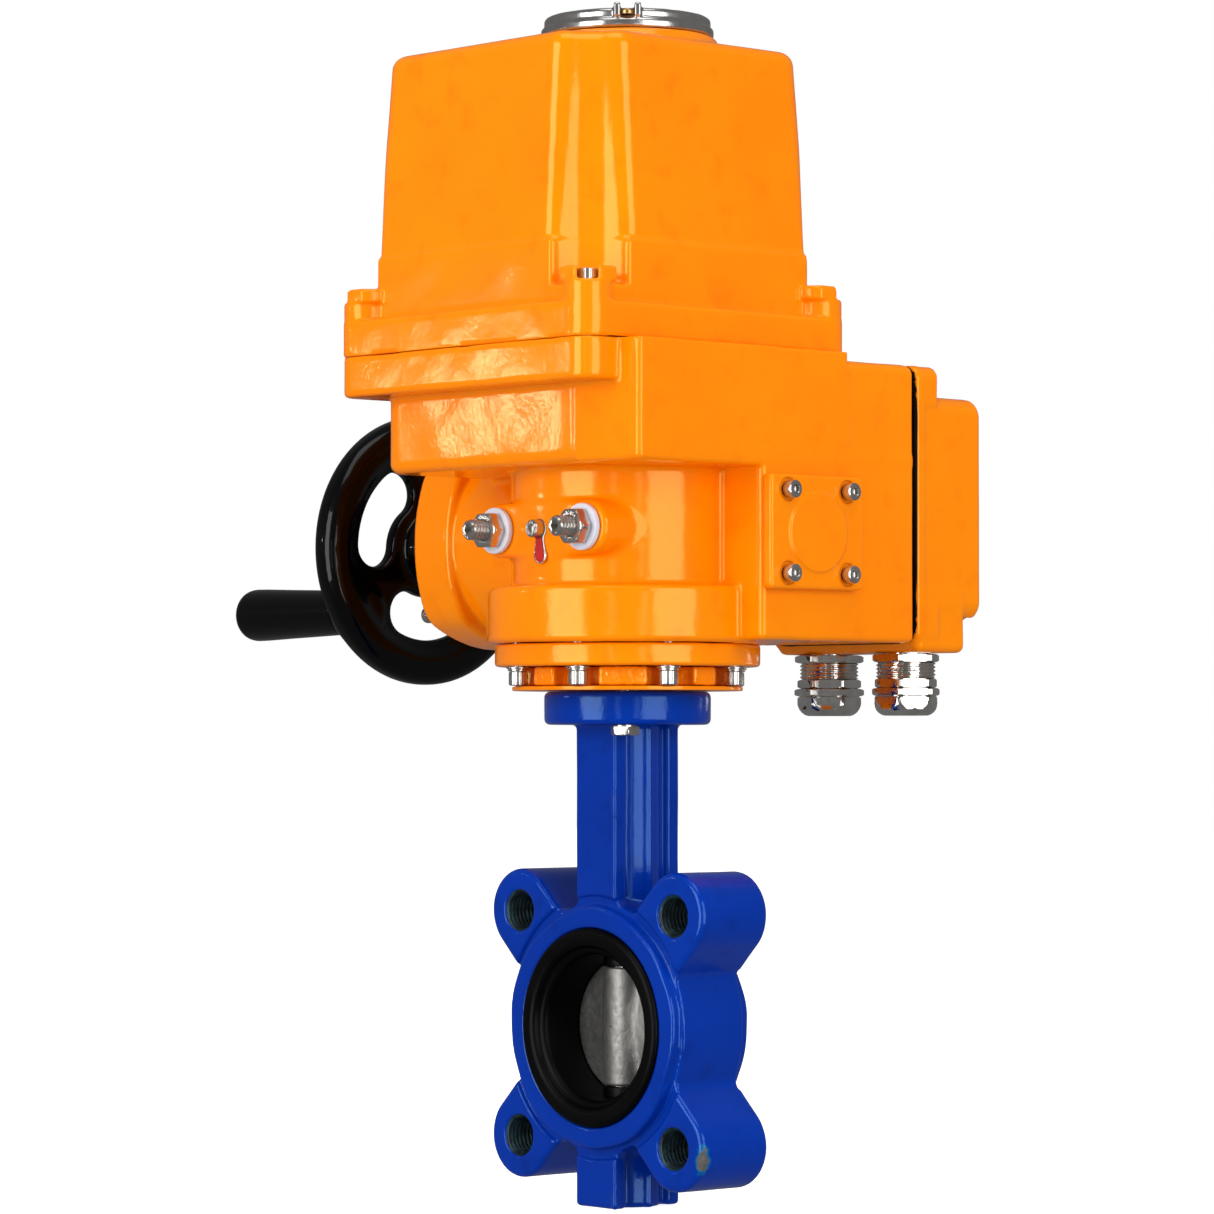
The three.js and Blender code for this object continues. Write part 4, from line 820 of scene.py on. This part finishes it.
def housing_rooms(g):
    """Everything hollow inside the housing, as one field."""
    rooms = prism(rect(g.x, g.y, (-66, 40), (-52, 42), 8), g.z, 224, 300, 1)
    others = [
        prism(disc(g.x, g.y, (0, 0), 34), g.z, 180, 202, 1),
        box(g, (-10, 61.5), (12.4, 120), (155.5, 252.8), 2),
        box(g, (45, 61.5), (-50, 20), (224, 252.8), 2),
        prism(disc(g.x, g.y, (0, 0), SLEEVE_BORE_R), g.z, 130, 181, 0.2),
        prism(disc(g.x, g.y, (0, 0), 5.3), g.z, 195, 230, 0.2),
        prism(disc(g.y, g.z, (WORM_Y, WORM_Z), 10), g.x, -130, 0, 0.5),
        prism(disc(g.y, g.z, (WORM_Y, WORM_Z), BEARING_BORE_R), g.x, -130, -105, 0.5),
        prism(disc(g.y, g.z, (WORM_Y, WORM_Z), BEARING_BORE_R), g.x, 58, 80, 0.5),
        prism(disc(g.x, g.z, (0, STOPPER_Z), 2.3), g.y, -60, -38, 0.2),
    ]
    others += [prism(disc(g.x, g.z, (x, STOPPER_Z), 4.3), g.y, -60, 0, 0.2) for x in STOPPER_XS]
    others += [prism(disc(g.x, g.y, at, SCREW_HOLE_R), g.z, 140, 163.3, 0.2) for at in BASE_SCREWS]
    others += [prism(disc(g.x, g.y, at, SCREW_HOLE_R), g.z, 248, 270, 0.2) for at in COVER_SCREWS]
    for room in others:
        rooms = np.minimum(rooms, room)
    return rooms


def gear_housing():
    g = Grid((BOSS_END_X, -72.5, 148.7), (BOX_X[1], BOX_END_Y, SEAM), 0.95)
    body = housing_outside(g) + ripple(g, 0.12, 12)
    dimple = np.sqrt((g.x + 9.6) ** 2 + (g.y + 45.2) ** 2 + (g.z - STOPPER_Z) ** 2) - 1.3
    body = carve(body, dimple, 0.5)
    body = np.maximum(body, -housing_rooms(g))
    cast("gear_housing", g, body, ORANGE)


def bearing_cap():
    x0 = BOX_X[1] + CLEARANCE
    g = Grid((x0, 7, 168.8), (x0 + 6.4, 58, 213.2), 0.45)
    plate = prism(rect(g.y, g.z, (7.25, 57.75), (169, 213), 2.0), g.x, x0, x0 + 5.1, 1.4)
    ring = prism(disc(g.y, g.z, (WORM_Y, WORM_Z), 15.5), g.x, x0, x0 + 5.9, 0.7)
    body = join(plate, ring, 0.8)
    for at in CAP_SCREWS:
        body = carve(body, prism(disc(g.y, g.z, at, 4.5), g.x, x0 + 4.0, x0 + 20, 0.3), 0.6)
        body = np.maximum(body, -disc(g.y, g.z, at, 2.3))
    cast("bearing_cap", g, body + ripple(g, 0.08, 4), ORANGE)


def cap_screws():
    head = socket_head(3.5, 4.0, 1.5, knurled=False)
    screw = head + [(2.0, -4.0), (2.0, -9.0), (0, -9.3)]
    copies("cap_screw", screw, "x", [(BOX_X[1] + 9.6, y, z) for y, z in CAP_SCREWS], STAINLESS)


def boss_end_screw():
    """A small screw in the end face of the worm boss."""
    angle = math.radians(221.5)
    y, z = on_circle(43.0, angle)
    points, faces = turned(socket_head(3.4, 3.6, 1.5) + [(2.0, -3.6), (2.0, -8.0), (0, -8.3)])
    at = (BOSS_END_X - 3.6, WORM_Y + y, WORM_Z + z)
    machined("boss_end_screw", [(along(points * UPSIDE_DOWN, "x", at), faces)], STAINLESS)


# ---------------------------------------------------------------- travel stops and earth terminal
def stoppers():
    socket, flats = (HEX, 2.0), (HEX, 6.5)
    bolt = [
        (0, -57.4), (1.2, -57.0, socket), (4, -57.2, socket), (4, -60.7, socket), (2.7, -61.0),
        (3.1, -61.0), (3.7, -60.4),
    ]
    bolt += thread(4.0, -60.1, -40.0, 1.5, 0.8) + [(3.4, -39.6), (3.4, -14.2), (3.0, -13.8), (0, -13.8)]
    low, high = -53.3, -48.1
    nut = [
        (4.3, low), (6.1, low), (6.6, low + 0.1, flats), (7.05, low + 0.35, flats), (7.5, low + 0.8, flats),
        (7.5, high - 0.8, flats), (7.05, high - 0.35, flats), (6.6, high - 0.1, flats), (6.1, high),
        (4.3, high),
    ]
    nut += thread(4.35, high - 0.3, low + 0.3, 1.25, 0.3) + [(4.3, low)]
    seal = [(4.3, -47.8), (9.0, -47.8), (9.0, -45.3), (4.3, -45.3), (4.3, -47.8)]
    for i, x in enumerate(STOPPER_XS):
        at = (x, 0, STOPPER_Z)
        for name, stations, material in (
            ("bolt", bolt, STAINLESS),
            ("nut", nut, STAINLESS),
            ("seal", soft(seal, 0.8), WHITE_NYLON),
        ):
            points, faces = turned(stations, 72)
            machined(f"stopper_{name}_{i + 1}", [(along(points, "y", at), faces)], material)


def earth_screw():
    points, faces = turned(socket_head(3.5, 4.0, 1.5) + [(2.0, -4.0), (2.0, -11.5), (0, -11.5)])
    at = (0, PAD_FACE_Y - 5.5, STOPPER_Z)
    machined("earth_screw", [(along(points * UPSIDE_DOWN, "y", at), faces)], STAINLESS)
    tag_shape("earth_tag", 1.0, (-46.3, -45.3), STAINLESS)
    tag_shape("earth_tag_enamel", 0.72, (-46.75, -46.0), RED, drop=0.6)


def tag_shape(name, share, y_range, material, drop=0.0):
    """A teardrop tag that hangs from the earth screw, leaning a little out and to one side."""
    g = Grid((-5, -50, STOPPER_Z - 18), (9, -44, STOPPER_Z + 5), 0.2)
    length = 10.0
    x = g.x - 0.10 * (STOPPER_Z - g.z)
    lean = g.y + 0.06 * (STOPPER_Z - g.z)
    eye = disc(x, g.z, (0, STOPPER_Z), 3.9 * share)
    tip = disc(x, g.z, (0, STOPPER_Z - length - drop), 3.1 * share)
    t = np.clip((STOPPER_Z - g.z) / length, 0, 1)
    beyond = np.maximum(g.z - STOPPER_Z, 0) + np.maximum(STOPPER_Z - length - g.z, 0)
    blade = np.hypot(x, beyond) - (1.7 + 1.7 * t) * share
    outline = join(np.minimum(eye, tip), blade, 1.0)
    body = prism(outline, lean, *y_range, 0.25)
    body = np.maximum(body, -disc(x, g.z, (0, STOPPER_Z), 3.6 if drop else 2.2))
    cast(name, g, body, material)


# ---------------------------------------------------------------- handwheel
def handwheel():
    g = Grid((-170, WORM_Y - 57, WORM_Z - 57), (-125.5, WORM_Y + 57, WORM_Z + 57), 0.75)
    y, z = g.y - WORM_Y, g.z - WORM_Z
    radius = np.hypot(y, z)
    rim = prism(np.abs(radius - RIM_MIDDLE_R) - RIM_HALF, g.x, WHEEL_X - 7, WHEEL_X + 7, 6.0)
    angle = np.arctan2(z, y)
    web = prism(radius - 46, g.x, WHEEL_X - 3.5, WHEEL_X + 3.5, 1.5)
    middle_r, window_r, reach = 28.8, 9.0, math.radians(25)
    for spoke in SPOKE_ANGLES:
        middle = math.radians(spoke + 60)
        turn = (angle - middle + math.pi) % TURN - math.pi
        nearest = middle + np.clip(turn, -reach, reach)
        window = np.hypot(y - middle_r * np.cos(nearest), z - middle_r * np.sin(nearest)) - window_r
        web = carve(web, window, 3.0)
    body = join(rim, web, 5.0)
    hub = prism(radius - 15 + 0.06 * (g.x - WHEEL_X), g.x, WHEEL_X - 8, -126, 2.0)
    body = join(body, hub, 4.0)
    crank = on_circle(CRANK_R, CRANK_ANGLE)
    pad = prism(disc(y, z, crank, 9.5), g.x, WHEEL_X - 8, WHEEL_X + 3.5, 1.5)
    body = join(body, pad, 4.0)
    body = np.maximum(body, 6.3 - radius)
    body = np.maximum(body, -prism(disc(y, z, crank, 4.3), g.x, -190, WHEEL_X + 0.5, 0.2))
    cast("handwheel", g, body, BLACK, "worm")


def crank_handle():
    y, z = on_circle(CRANK_R, CRANK_ANGLE)
    at = (0, WORM_Y + y, WORM_Z + z)
    grip = [
        (4.4, -169.2), (8.7, -169.2), (9.2, -170.0), (9.7, -185.0), (10.3, -205.0), (10.9, -222.0),
        (11.0, -229.0), (10.4, -231.3), (9.2, -232.0), (7.4, -232.0), (7.0, -231.4), (6.9, -224.2),
        (4.4, -224.2), (4.4, -169.2),
    ]
    points, faces = turned(soft(grip, 1.2), 96)
    machined("handle_grip", [(along(points, "x", at), faces)], BLACK, "crank_handle", 45)
    socket, head_z = (HEX, 2.5), -229.0
    bolt = [
        (0, 2.6), (2.5, 2.6, socket), (5, 2.6, socket), (5, 0.3, socket), (3.2, 0), (5.8, 0), (6.4, 0.6),
        (6.4, 4.7), (4.0, 4.7), (4.0, 67.5), (0, 68),
    ]
    points, faces = turned(bolt)
    points = points + np.array([0, 0, head_z])
    machined("handle_bolt", [(along(points, "x", at), faces)], STAINLESS, "worm")


def wheel_nut():
    """The nut that closes the handwheel on its shaft."""
    flats = (HEX, 6.5)
    stations = [
        (0, -176.0), (4.6, -176.0), (5.2, -175.3), (5.2, -173.4), (6.6, -173.2, flats),
        (7.5, -172.6, flats), (7.5, -169.3, flats), (0, -169.3),
    ]
    points, faces = turned(stations, 72)
    machined("wheel_nut", [(along(points, "x", (0, WORM_Y, WORM_Z)), faces)], STAINLESS, "worm")


# ---------------------------------------------------------------- top cover
def cover_outline(g, inset, corner=9):
    x_range = (FLANGE_X[0] + inset, FLANGE_X[1] - inset)
    y_range = (FLANGE_Y[0] + inset, FLANGE_Y[1] - inset)
    return rect(g.x, g.y, x_range, y_range, corner)


def leaning_inset(g, low_inset):
    """The wall leans in by DRAFT between the top of the band and the rounded top edge."""
    return low_inset + DRAFT * np.clip((g.z - BAND_TOP) / (COVER_TOP - 4 - BAND_TOP), 0, 1.1)


def cover_walls(g):
    band = prism(cover_outline(g, 8.3), g.z, COVER_BOTTOM, BAND_TOP, 1.4)
    wall = prism(cover_outline(g, leaning_inset(g, 9.4), 10), g.z, COVER_BOTTOM, COVER_TOP, 5.5)
    for at, radius in zip(COVER_SCREWS, FLUTE_R):
        flute = prism(disc(g.x, g.y, at, radius), g.z, FLUTE_FLOOR, 420, 1.0)
        band = carve(band, flute, 1.8)
        wall = carve(wall, flute, 7.0 if radius > 10 else 2.0)
    return join(band, wall, 1.4)


def screw_noses(g, body):
    """At each corner a round nose with two ears on top, and the screw in the slot between them."""
    middle = ((FLANGE_X[0] + FLANGE_X[1]) / 2, (FLANGE_Y[0] + FLANGE_Y[1]) / 2)
    for x, y in COVER_SCREWS:
        nose = prism(disc(g.x, g.y, (x, y), SCREW_INSET), g.z, COVER_BOTTOM, NOSE_TOP, 0.9)
        ears = np.maximum(disc(g.x, g.y, (x, y), 10.8), cover_outline(g, 0.4))
        ears = prism(ears, g.z, 282.8, EAR_TOP, 0.9)
        body = join(join(body, nose, 1.0), ears, 0.8)
        out = math.atan2(y - middle[1], x - middle[0])
        u = (g.x - x) * math.cos(out) + (g.y - y) * math.sin(out)
        v = (g.y - y) * math.cos(out) - (g.x - x) * math.sin(out)
        slot = prism(stadium(u, v, (0, 30), 0, 4.0), g.z, NOSE_TOP - 0.1, 300, 0.3)
        body = carve(body, slot, 0.6)
        body = carve(body, prism(disc(g.x, g.y, (x, y), 4.7), g.z, NOSE_TOP - 1, 300, 0.3), 0.6)
        body = np.maximum(body, -disc(g.x, g.y, (x, y), SCREW_HOLE_R))
    return body


def top_cover():
    g = Grid((FLANGE_X[0], FLANGE_Y[0], COVER_BOTTOM), (FLANGE_X[1], FLANGE_Y[1], COLLAR_TOP), 0.85)
    flange = prism(cover_outline(g, 0), g.z, COVER_BOTTOM - 4, FLANGE_TOP, 1.8)
    body = join(cover_walls(g), flange, 2.0)
    collar = prism(disc(g.x, g.y, (0, 0), 34.6), g.z, 360, COLLAR_TOP, 1.2)
    body = screw_noses(g, join(body, collar, 6.0)) + ripple(g, 0.16, 13)
    body = np.maximum(body, COVER_BOTTOM - g.z)
    cast("top_cover", g, hollow_cover(g, body), ORANGE)


def hollow_cover(g, body):
    room = prism(cover_outline(g, leaning_inset(g, 14.7), 8), g.z, 200, COVER_TOP - 5, 4)
    for at, radius in zip(COVER_SCREWS, FLUTE_R):
        room = np.maximum(room, -disc(g.x, g.y, at, max(radius, SCREW_INSET) + 5))
    body = np.maximum(body, -room)
    return np.maximum(body, -prism(disc(g.x, g.y, (0, 0), 27), g.z, COVER_TOP - 12, 400, 0.3))


def cover_screws():
    screw = socket_head(4.1, 5.0, 2.0) + [(2.5, -5.0), (2.5, -38.6), (0, -39.0)]
    copies("cover_screw", screw, "z", [(x, y, EAR_TOP - 0.7) for x, y in COVER_SCREWS], STAINLESS)


# ---------------------------------------------------------------- sight glass
def sight_ring():
    g = Grid((-37, -37, 385.4), (37, 37, 395.4), 0.42)
    radius = np.hypot(g.x, g.y)
    lower = prism(radius - 33.8, g.z, 385.6, 389.4, 1.2)
    upper = prism(radius - 32.6, g.z, 386, 393.4, 1.6)
    body = join(lower, upper, 0.8)
    for angle in EAR_ANGLES:
        u = g.x * math.cos(angle) + g.y * math.sin(angle)
        v = g.y * math.cos(angle) - g.x * math.sin(angle)
        for side in (-4.0, 4.0):
            ear = prism(rect(u, v, (28.5, 34.6), (side - 1.3, side + 1.3), 0.7), g.z, 389.6, 395.2, 0.8)
            body = join(body, ear, 0.8)
        slot = prism(rect(u, v, (30.0, 60), (-2.4, 2.4), 0.5), g.z, 390.4, 420, 0.3)
        body = carve(body, slot, 0.4)
    body = np.maximum(body, -prism(radius - 25.5, g.z, 380, 420, 0.6))
    body = np.maximum(body, -prism(radius - 29.3, g.z, 380, 391.0, 0.2))
    cast("sight_ring", g, body + ripple(g, 0.05, 3), POLISHED)
    screw = soft([(0, 2.2), (2.2, 2.2), (2.6, 1.6), (2.6, 0), (0, 0)], 0.3)
    places = [(*on_circle(32.0, angle), 390.6) for angle in EAR_ANGLES]
    copies("ring_screw", screw, "z", places, BRASS, 48)


def sight_glass():
    glass = [(0, 385.7), (29, 385.7), (29, 390.2), (25.4, 390.8), (14, 391.7), (0, 392.0)]
    machined("sight_glass", [turned(soft(glass, 0.6), 120)], GLASS, sharp_angle=50)


# ---------------------------------------------------------------- terminal box cover and glands
def terminal_cover():
    g = Grid((BOX_X[0], LID_Y, GLAND_SEAT), (BOX_X[1], LID_END_Y, BOX_Z[1]), 0.75)
    dome_x = (BOX_X[0] + 2, BOX_X[1] - 0.3)
    plate = prism(rect(g.x, g.z, BOX_X, (LID_BOTTOM, BOX_Z[1]), 5), g.y, LID_Y, 97.5, 1.2)
    dome = prism(rect(g.x, g.z, dome_x, (158.5, 247.5), 8), g.y, LID_Y, LID_END_Y, 3.5)
    body = join(plate, dome, 1.5)
    for x_range in ((BOX_X[0], BOX_X[0] + 13), (BOX_X[1] - 13, BOX_X[1])):
        for z_range in ((BOX_Z[1] - 19, BOX_Z[1]), (LID_BOTTOM, LID_BOTTOM + 19)):
            lug = rect(g.x, g.z, x_range, z_range, 5)
            body = join(body, prism(lug, g.y, LID_Y, LID_LUG_END_Y, 1.2), 1.0)
    boss = box(g, dome_x, (94, 121), (145.8, 172), 3.0)
    body = join(body, boss, 2.0) + ripple(g, 0.12, 9)
    room = prism(rect(g.x, g.z, (-9, 62), (162.5, 243.5), 6), g.y, 80, LID_END_Y - 4, 3)
    body = np.maximum(body, -room)
    for x in GLAND_XS:
        body = np.maximum(body, -prism(disc(g.x, g.y, (x, GLAND_Y), 9.7), g.z, 130, 165, 0.3))
    for at in LID_SCREWS:
        body = carve(body, prism(disc(g.x, g.z, at, 3.7), g.y, LID_LUG_END_Y - 3, 140, 0.3), 0.4)
    cast("terminal_cover", g, body, ORANGE)


def terminal_screws():
    """The four corner screws of the terminal cover."""
    screw = socket_head(3.5, 4.0, 1.5) + [(2.0, -4.0), (2.0, -7.0), (0, -7.0)]
    places = [(x, LID_LUG_END_Y + 0.8, z) for x, z in LID_SCREWS]
    copies("terminal_screw", screw, "y", places, STAINLESS)


def terminal_gasket():
    """A black sheet gasket squeezed unevenly out of the joint."""
    steps = 720
    s = np.arange(steps) * TURN / steps
    half_x, half_z = (BOX_X[1] - BOX_X[0]) / 2, (BOX_Z[1] - BOX_Z[0]) / 2
    middle_x, middle_z = (BOX_X[0] + BOX_X[1]) / 2, (BOX_Z[0] + BOX_Z[1]) / 2
    power = 2 / 14
    px = np.sign(np.cos(s)) * np.abs(np.cos(s)) ** power
    pz = np.sign(np.sin(s)) * np.abs(np.sin(s)) ** power
    wave = 0.30 * np.sin(11 * s + 0.5) + 0.25 * np.sin(29 * s) + 0.15 * np.sin(53 * s + 1.0)
    out = 0.35 + 0.25 * wave
    thick = 0.75 + 0.35 * np.sin(17 * s + 2.0) * np.sin(7 * s)
    y = GASKET_Y + 0.9 * wave
    rings = []
    for reach, side in ((-7.0, -0.3), (-0.8, -0.5), (0, -1), (1.0, 0), (0, 1), (-0.8, 0.5), (-7.0, 0.3)):
        if reach < 0:
            bulge = reach
            ring_y = np.full(steps, GASKET_Y + side * 0.9)
        else:
            bulge = out * max(reach, 0.4)
            ring_y = y + side * thick * 0.55
        ring_x = middle_x + (half_x + bulge) * px
        ring_z = middle_z + (half_z + bulge) * pz
        rings.append(np.stack([ring_x, ring_y, ring_z], 1))
    rings.append(rings[0])
    points = np.concatenate(rings)
    i = np.arange(steps)
    j = (i + 1) % steps
    faces = np.concatenate([
        np.stack([k * steps + i, k * steps + j, (k + 1) * steps + j, (k + 1) * steps + i], 1)
        for k in range(len(rings) - 1)
    ])
    machined("terminal_gasket", [(points, faces)], RUBBER,
             sharp_angle=60)


def hex_band(across_flats, corner, top, bottom):
    """Stations of a hexagon with chamfered corners at both ends, going down."""
    half = across_flats / 2
    flats = (HEX, half)
    return [
        (half * 0.985, top), (half * 1.06, top - 0.15, flats), (corner, top - 0.6, flats),
        (corner, bottom + 0.6, flats), (half * 1.06, bottom + 0.15, flats), (half * 0.985, bottom),
    ]


def cable_glands():
    outside = [(5.6, 1.8), (9.4, 1.8), (9.4, 0.0)]
    outside += hex_band(24.2, 13.9, 0.0, -3.2)
    outside += [(11.0, -3.3)] + thread(11.8, -3.4, -9.6, 1.5, 0.75) + [(11.0, -9.7)]
    outside += hex_band(22.8, 12.9, -9.8, -13.4)
    outside += hex_band(24.6, 14.1, -13.5, -16.6)
    outside += [
        (12.0, -16.7), (12.4, -16.9, (HEX, 11.5)), (12.9, -17.3, (HEX, 11.5)), (12.9, -19.8, (HEX, 11.6)),
        (12.6, -20.8, (HEX, 11.7)), (12.1, -21.9), (11.1, -23.2), (9.8, -24.1), (8.6, -24.5), (7.4, -24.5),
        (6.9, -24.1), (6.6, -21.0), (5.6, -20.8), (5.6, 1.8),
    ]
    seal = [(3.6, -8.0), (6.4, -8.0), (6.4, -22.6), (5.6, -23.4), (4.0, -23.2), (3.6, -22.4), (3.6, -8.0)]
    for i, x in enumerate(GLAND_XS):
        at = (x, GLAND_Y, GLAND_SEAT)
        turn = 0.2 + 0.35 * i
        points, faces = turned(outside, 96)
        c, sn = math.cos(turn), math.sin(turn)
        points = points @ np.array([[c, sn, 0], [-sn, c, 0], [0, 0, 1]])
        machined(f"cable_gland_{i + 1}", [(along(points, "z", at), faces)], NICKEL, sharp_angle=24)
        points, faces = turned(soft(seal, 0.3), 64)
        machined(f"gland_seal_{i + 1}", [(along(points, "z", at), faces)], RUBBER)


# ---------------------------------------------------------------- inside pieces that the CAD already shapes
def finish_inside():
    finishes = {
        STAINLESS: [
            "valve_stem", "drive_sleeve", "cam_shaft", "worm_shaft", "motor_pinion", "mounting_plate",
            "worm_bearing_left", "worm_bearing_right",
        ],
        BRONZE: ["worm_wheel", "stem_bush"],
        MOTOR_GREY: ["motor"],
        GREEN_PLASTIC: ["switch_block"],
        WHITE_NYLON: ["terminal_block"],
        RUBBER: ["cover_gasket"],
        DIAL: ["indicator_dial"],
    }
    for material, nodes in finishes.items():
        for name in nodes:
            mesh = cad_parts[name].data
            mesh.materials.clear()
            mesh.materials.append(material)


# ---------------------------------------------------------------- stage, light and camera
def make_floor():
    size = 6.0
    bottom = cad_box[0][2]
    mesh = bpy.data.meshes.new("floor")
    corners = [(x * size, y * size, bottom) for x, y in ((-1, -1), (1, -1), (1, 1), (-1, 1))]
    mesh.from_pydata(corners, [], [(0, 1, 2, 3)])
    floor = bpy.data.objects.new("floor", mesh)
    bpy.context.scene.collection.objects.link(floor)
    s = Shader("floor")
    s.set(base_color=s.mix(s.noise(3.0), rgb(0.9, 0.9, 0.9), rgb(0.93, 0.93, 0.93)), roughness=0.9)
    s.set(emission_color=rgb(1, 1, 1), emission_strength=0.85)
    mesh.materials.append(s.material)
    floor.visible_glossy = False
    floor.visible_diffuse = False


def place_around(azimuth_offset, distance, height):
    """A point round the object, by its angle from the camera's own direction."""
    angle = CAMERA_AZIMUTH + math.radians(azimuth_offset)
    return (distance * math.sin(angle), -distance * math.cos(angle), height)


def softbox(name, azimuth_offset, distance, height, width, tall, power):
    data = bpy.data.lights.new(name, "AREA")
    data.shape = "RECTANGLE"
    data.size = width
    data.size_y = tall
    data.energy = power
    light = bpy.data.objects.new(name, data)
    bpy.context.scene.collection.objects.link(light)
    light.location = place_around(azimuth_offset, distance, height)
    aim = light.location.copy()
    aim.z -= 0.16
    light.rotation_euler = aim.to_track_quat("Z", "Y").to_euler()


def make_light():
    softbox("left_box", -50, 1.3, 0.25, 0.75, 1.2, 13)
    softbox("right_box", 38, 1.3, 0.25, 0.8, 1.2, 11)
    softbox("far_left_box", -94.1, 1.437, 0.334, 0.055, 0.042, 0.2)
    softbox("top_box", 0, 0.5, 1.5, 1.0, 1.0, 7)
    softbox("centre_right_card", 13, 1.5, 0.12, 0.16, 0.5, 0.35)
    softbox("centre_left_card", -14, 1.5, 0.12, 0.12, 0.5, 0.25)


def make_world():
    """A white studio, dimmer as fill light and dimmer still where gloss mirrors it."""
    world = bpy.data.worlds.new("studio")
    bpy.context.scene.world = world
    world.use_nodes = True
    nodes, links = world.node_tree.nodes, world.node_tree.links
    background = nodes["Background"]
    background.inputs["Color"].default_value = rgb(1, 1, 1)
    path = nodes.new("ShaderNodeLightPath")
    strength = None
    for ray, level in (("Is Camera Ray", WORLD_SEEN), ("Is Glossy Ray", WORLD_MIRRORED)):
        step = nodes.new("ShaderNodeMath")
        step.operation = "MULTIPLY_ADD"
        step.inputs[1].default_value = level - WORLD_FILL
        step.inputs[2].default_value = WORLD_FILL
        links.new(path.outputs[ray], step.inputs[0])
        if strength:
            links.new(strength, step.inputs[2])
        strength = step.outputs[0]
    links.new(strength, background.inputs["Strength"])


def make_camera():
    distance, eye = 1.835, 0.1105
    pitch, yaw = math.radians(1.645), math.radians(0.25)
    data = bpy.data.cameras.new("camera")
    data.lens = 139.4
    data.sensor_width = 36
    data.clip_end = 50
    camera = bpy.data.objects.new("camera", data)
    bpy.context.scene.collection.objects.link(camera)
    camera.location = place_around(0, distance, eye)
    camera.rotation_euler = (math.pi / 2 + pitch, 0, CAMERA_AZIMUTH + yaw)
    bpy.context.scene.camera = camera
    bpy.context.scene.view_settings.view_transform = "Standard"


make_camera()
make_light()
make_world()
make_floor()
valve_body()
lug_threads()
valve_seat()
valve_disc()
flange_bolts()
adapter_plate()
adapter_rings()
base_screws()
gear_housing()
bearing_cap()
cap_screws()
boss_end_screw()
stoppers()
earth_screw()
handwheel()
crank_handle()
wheel_nut()
top_cover()
cover_screws()
sight_ring()
sight_glass()
terminal_cover()
terminal_screws()
terminal_gasket()
cable_glands()
finish_inside()
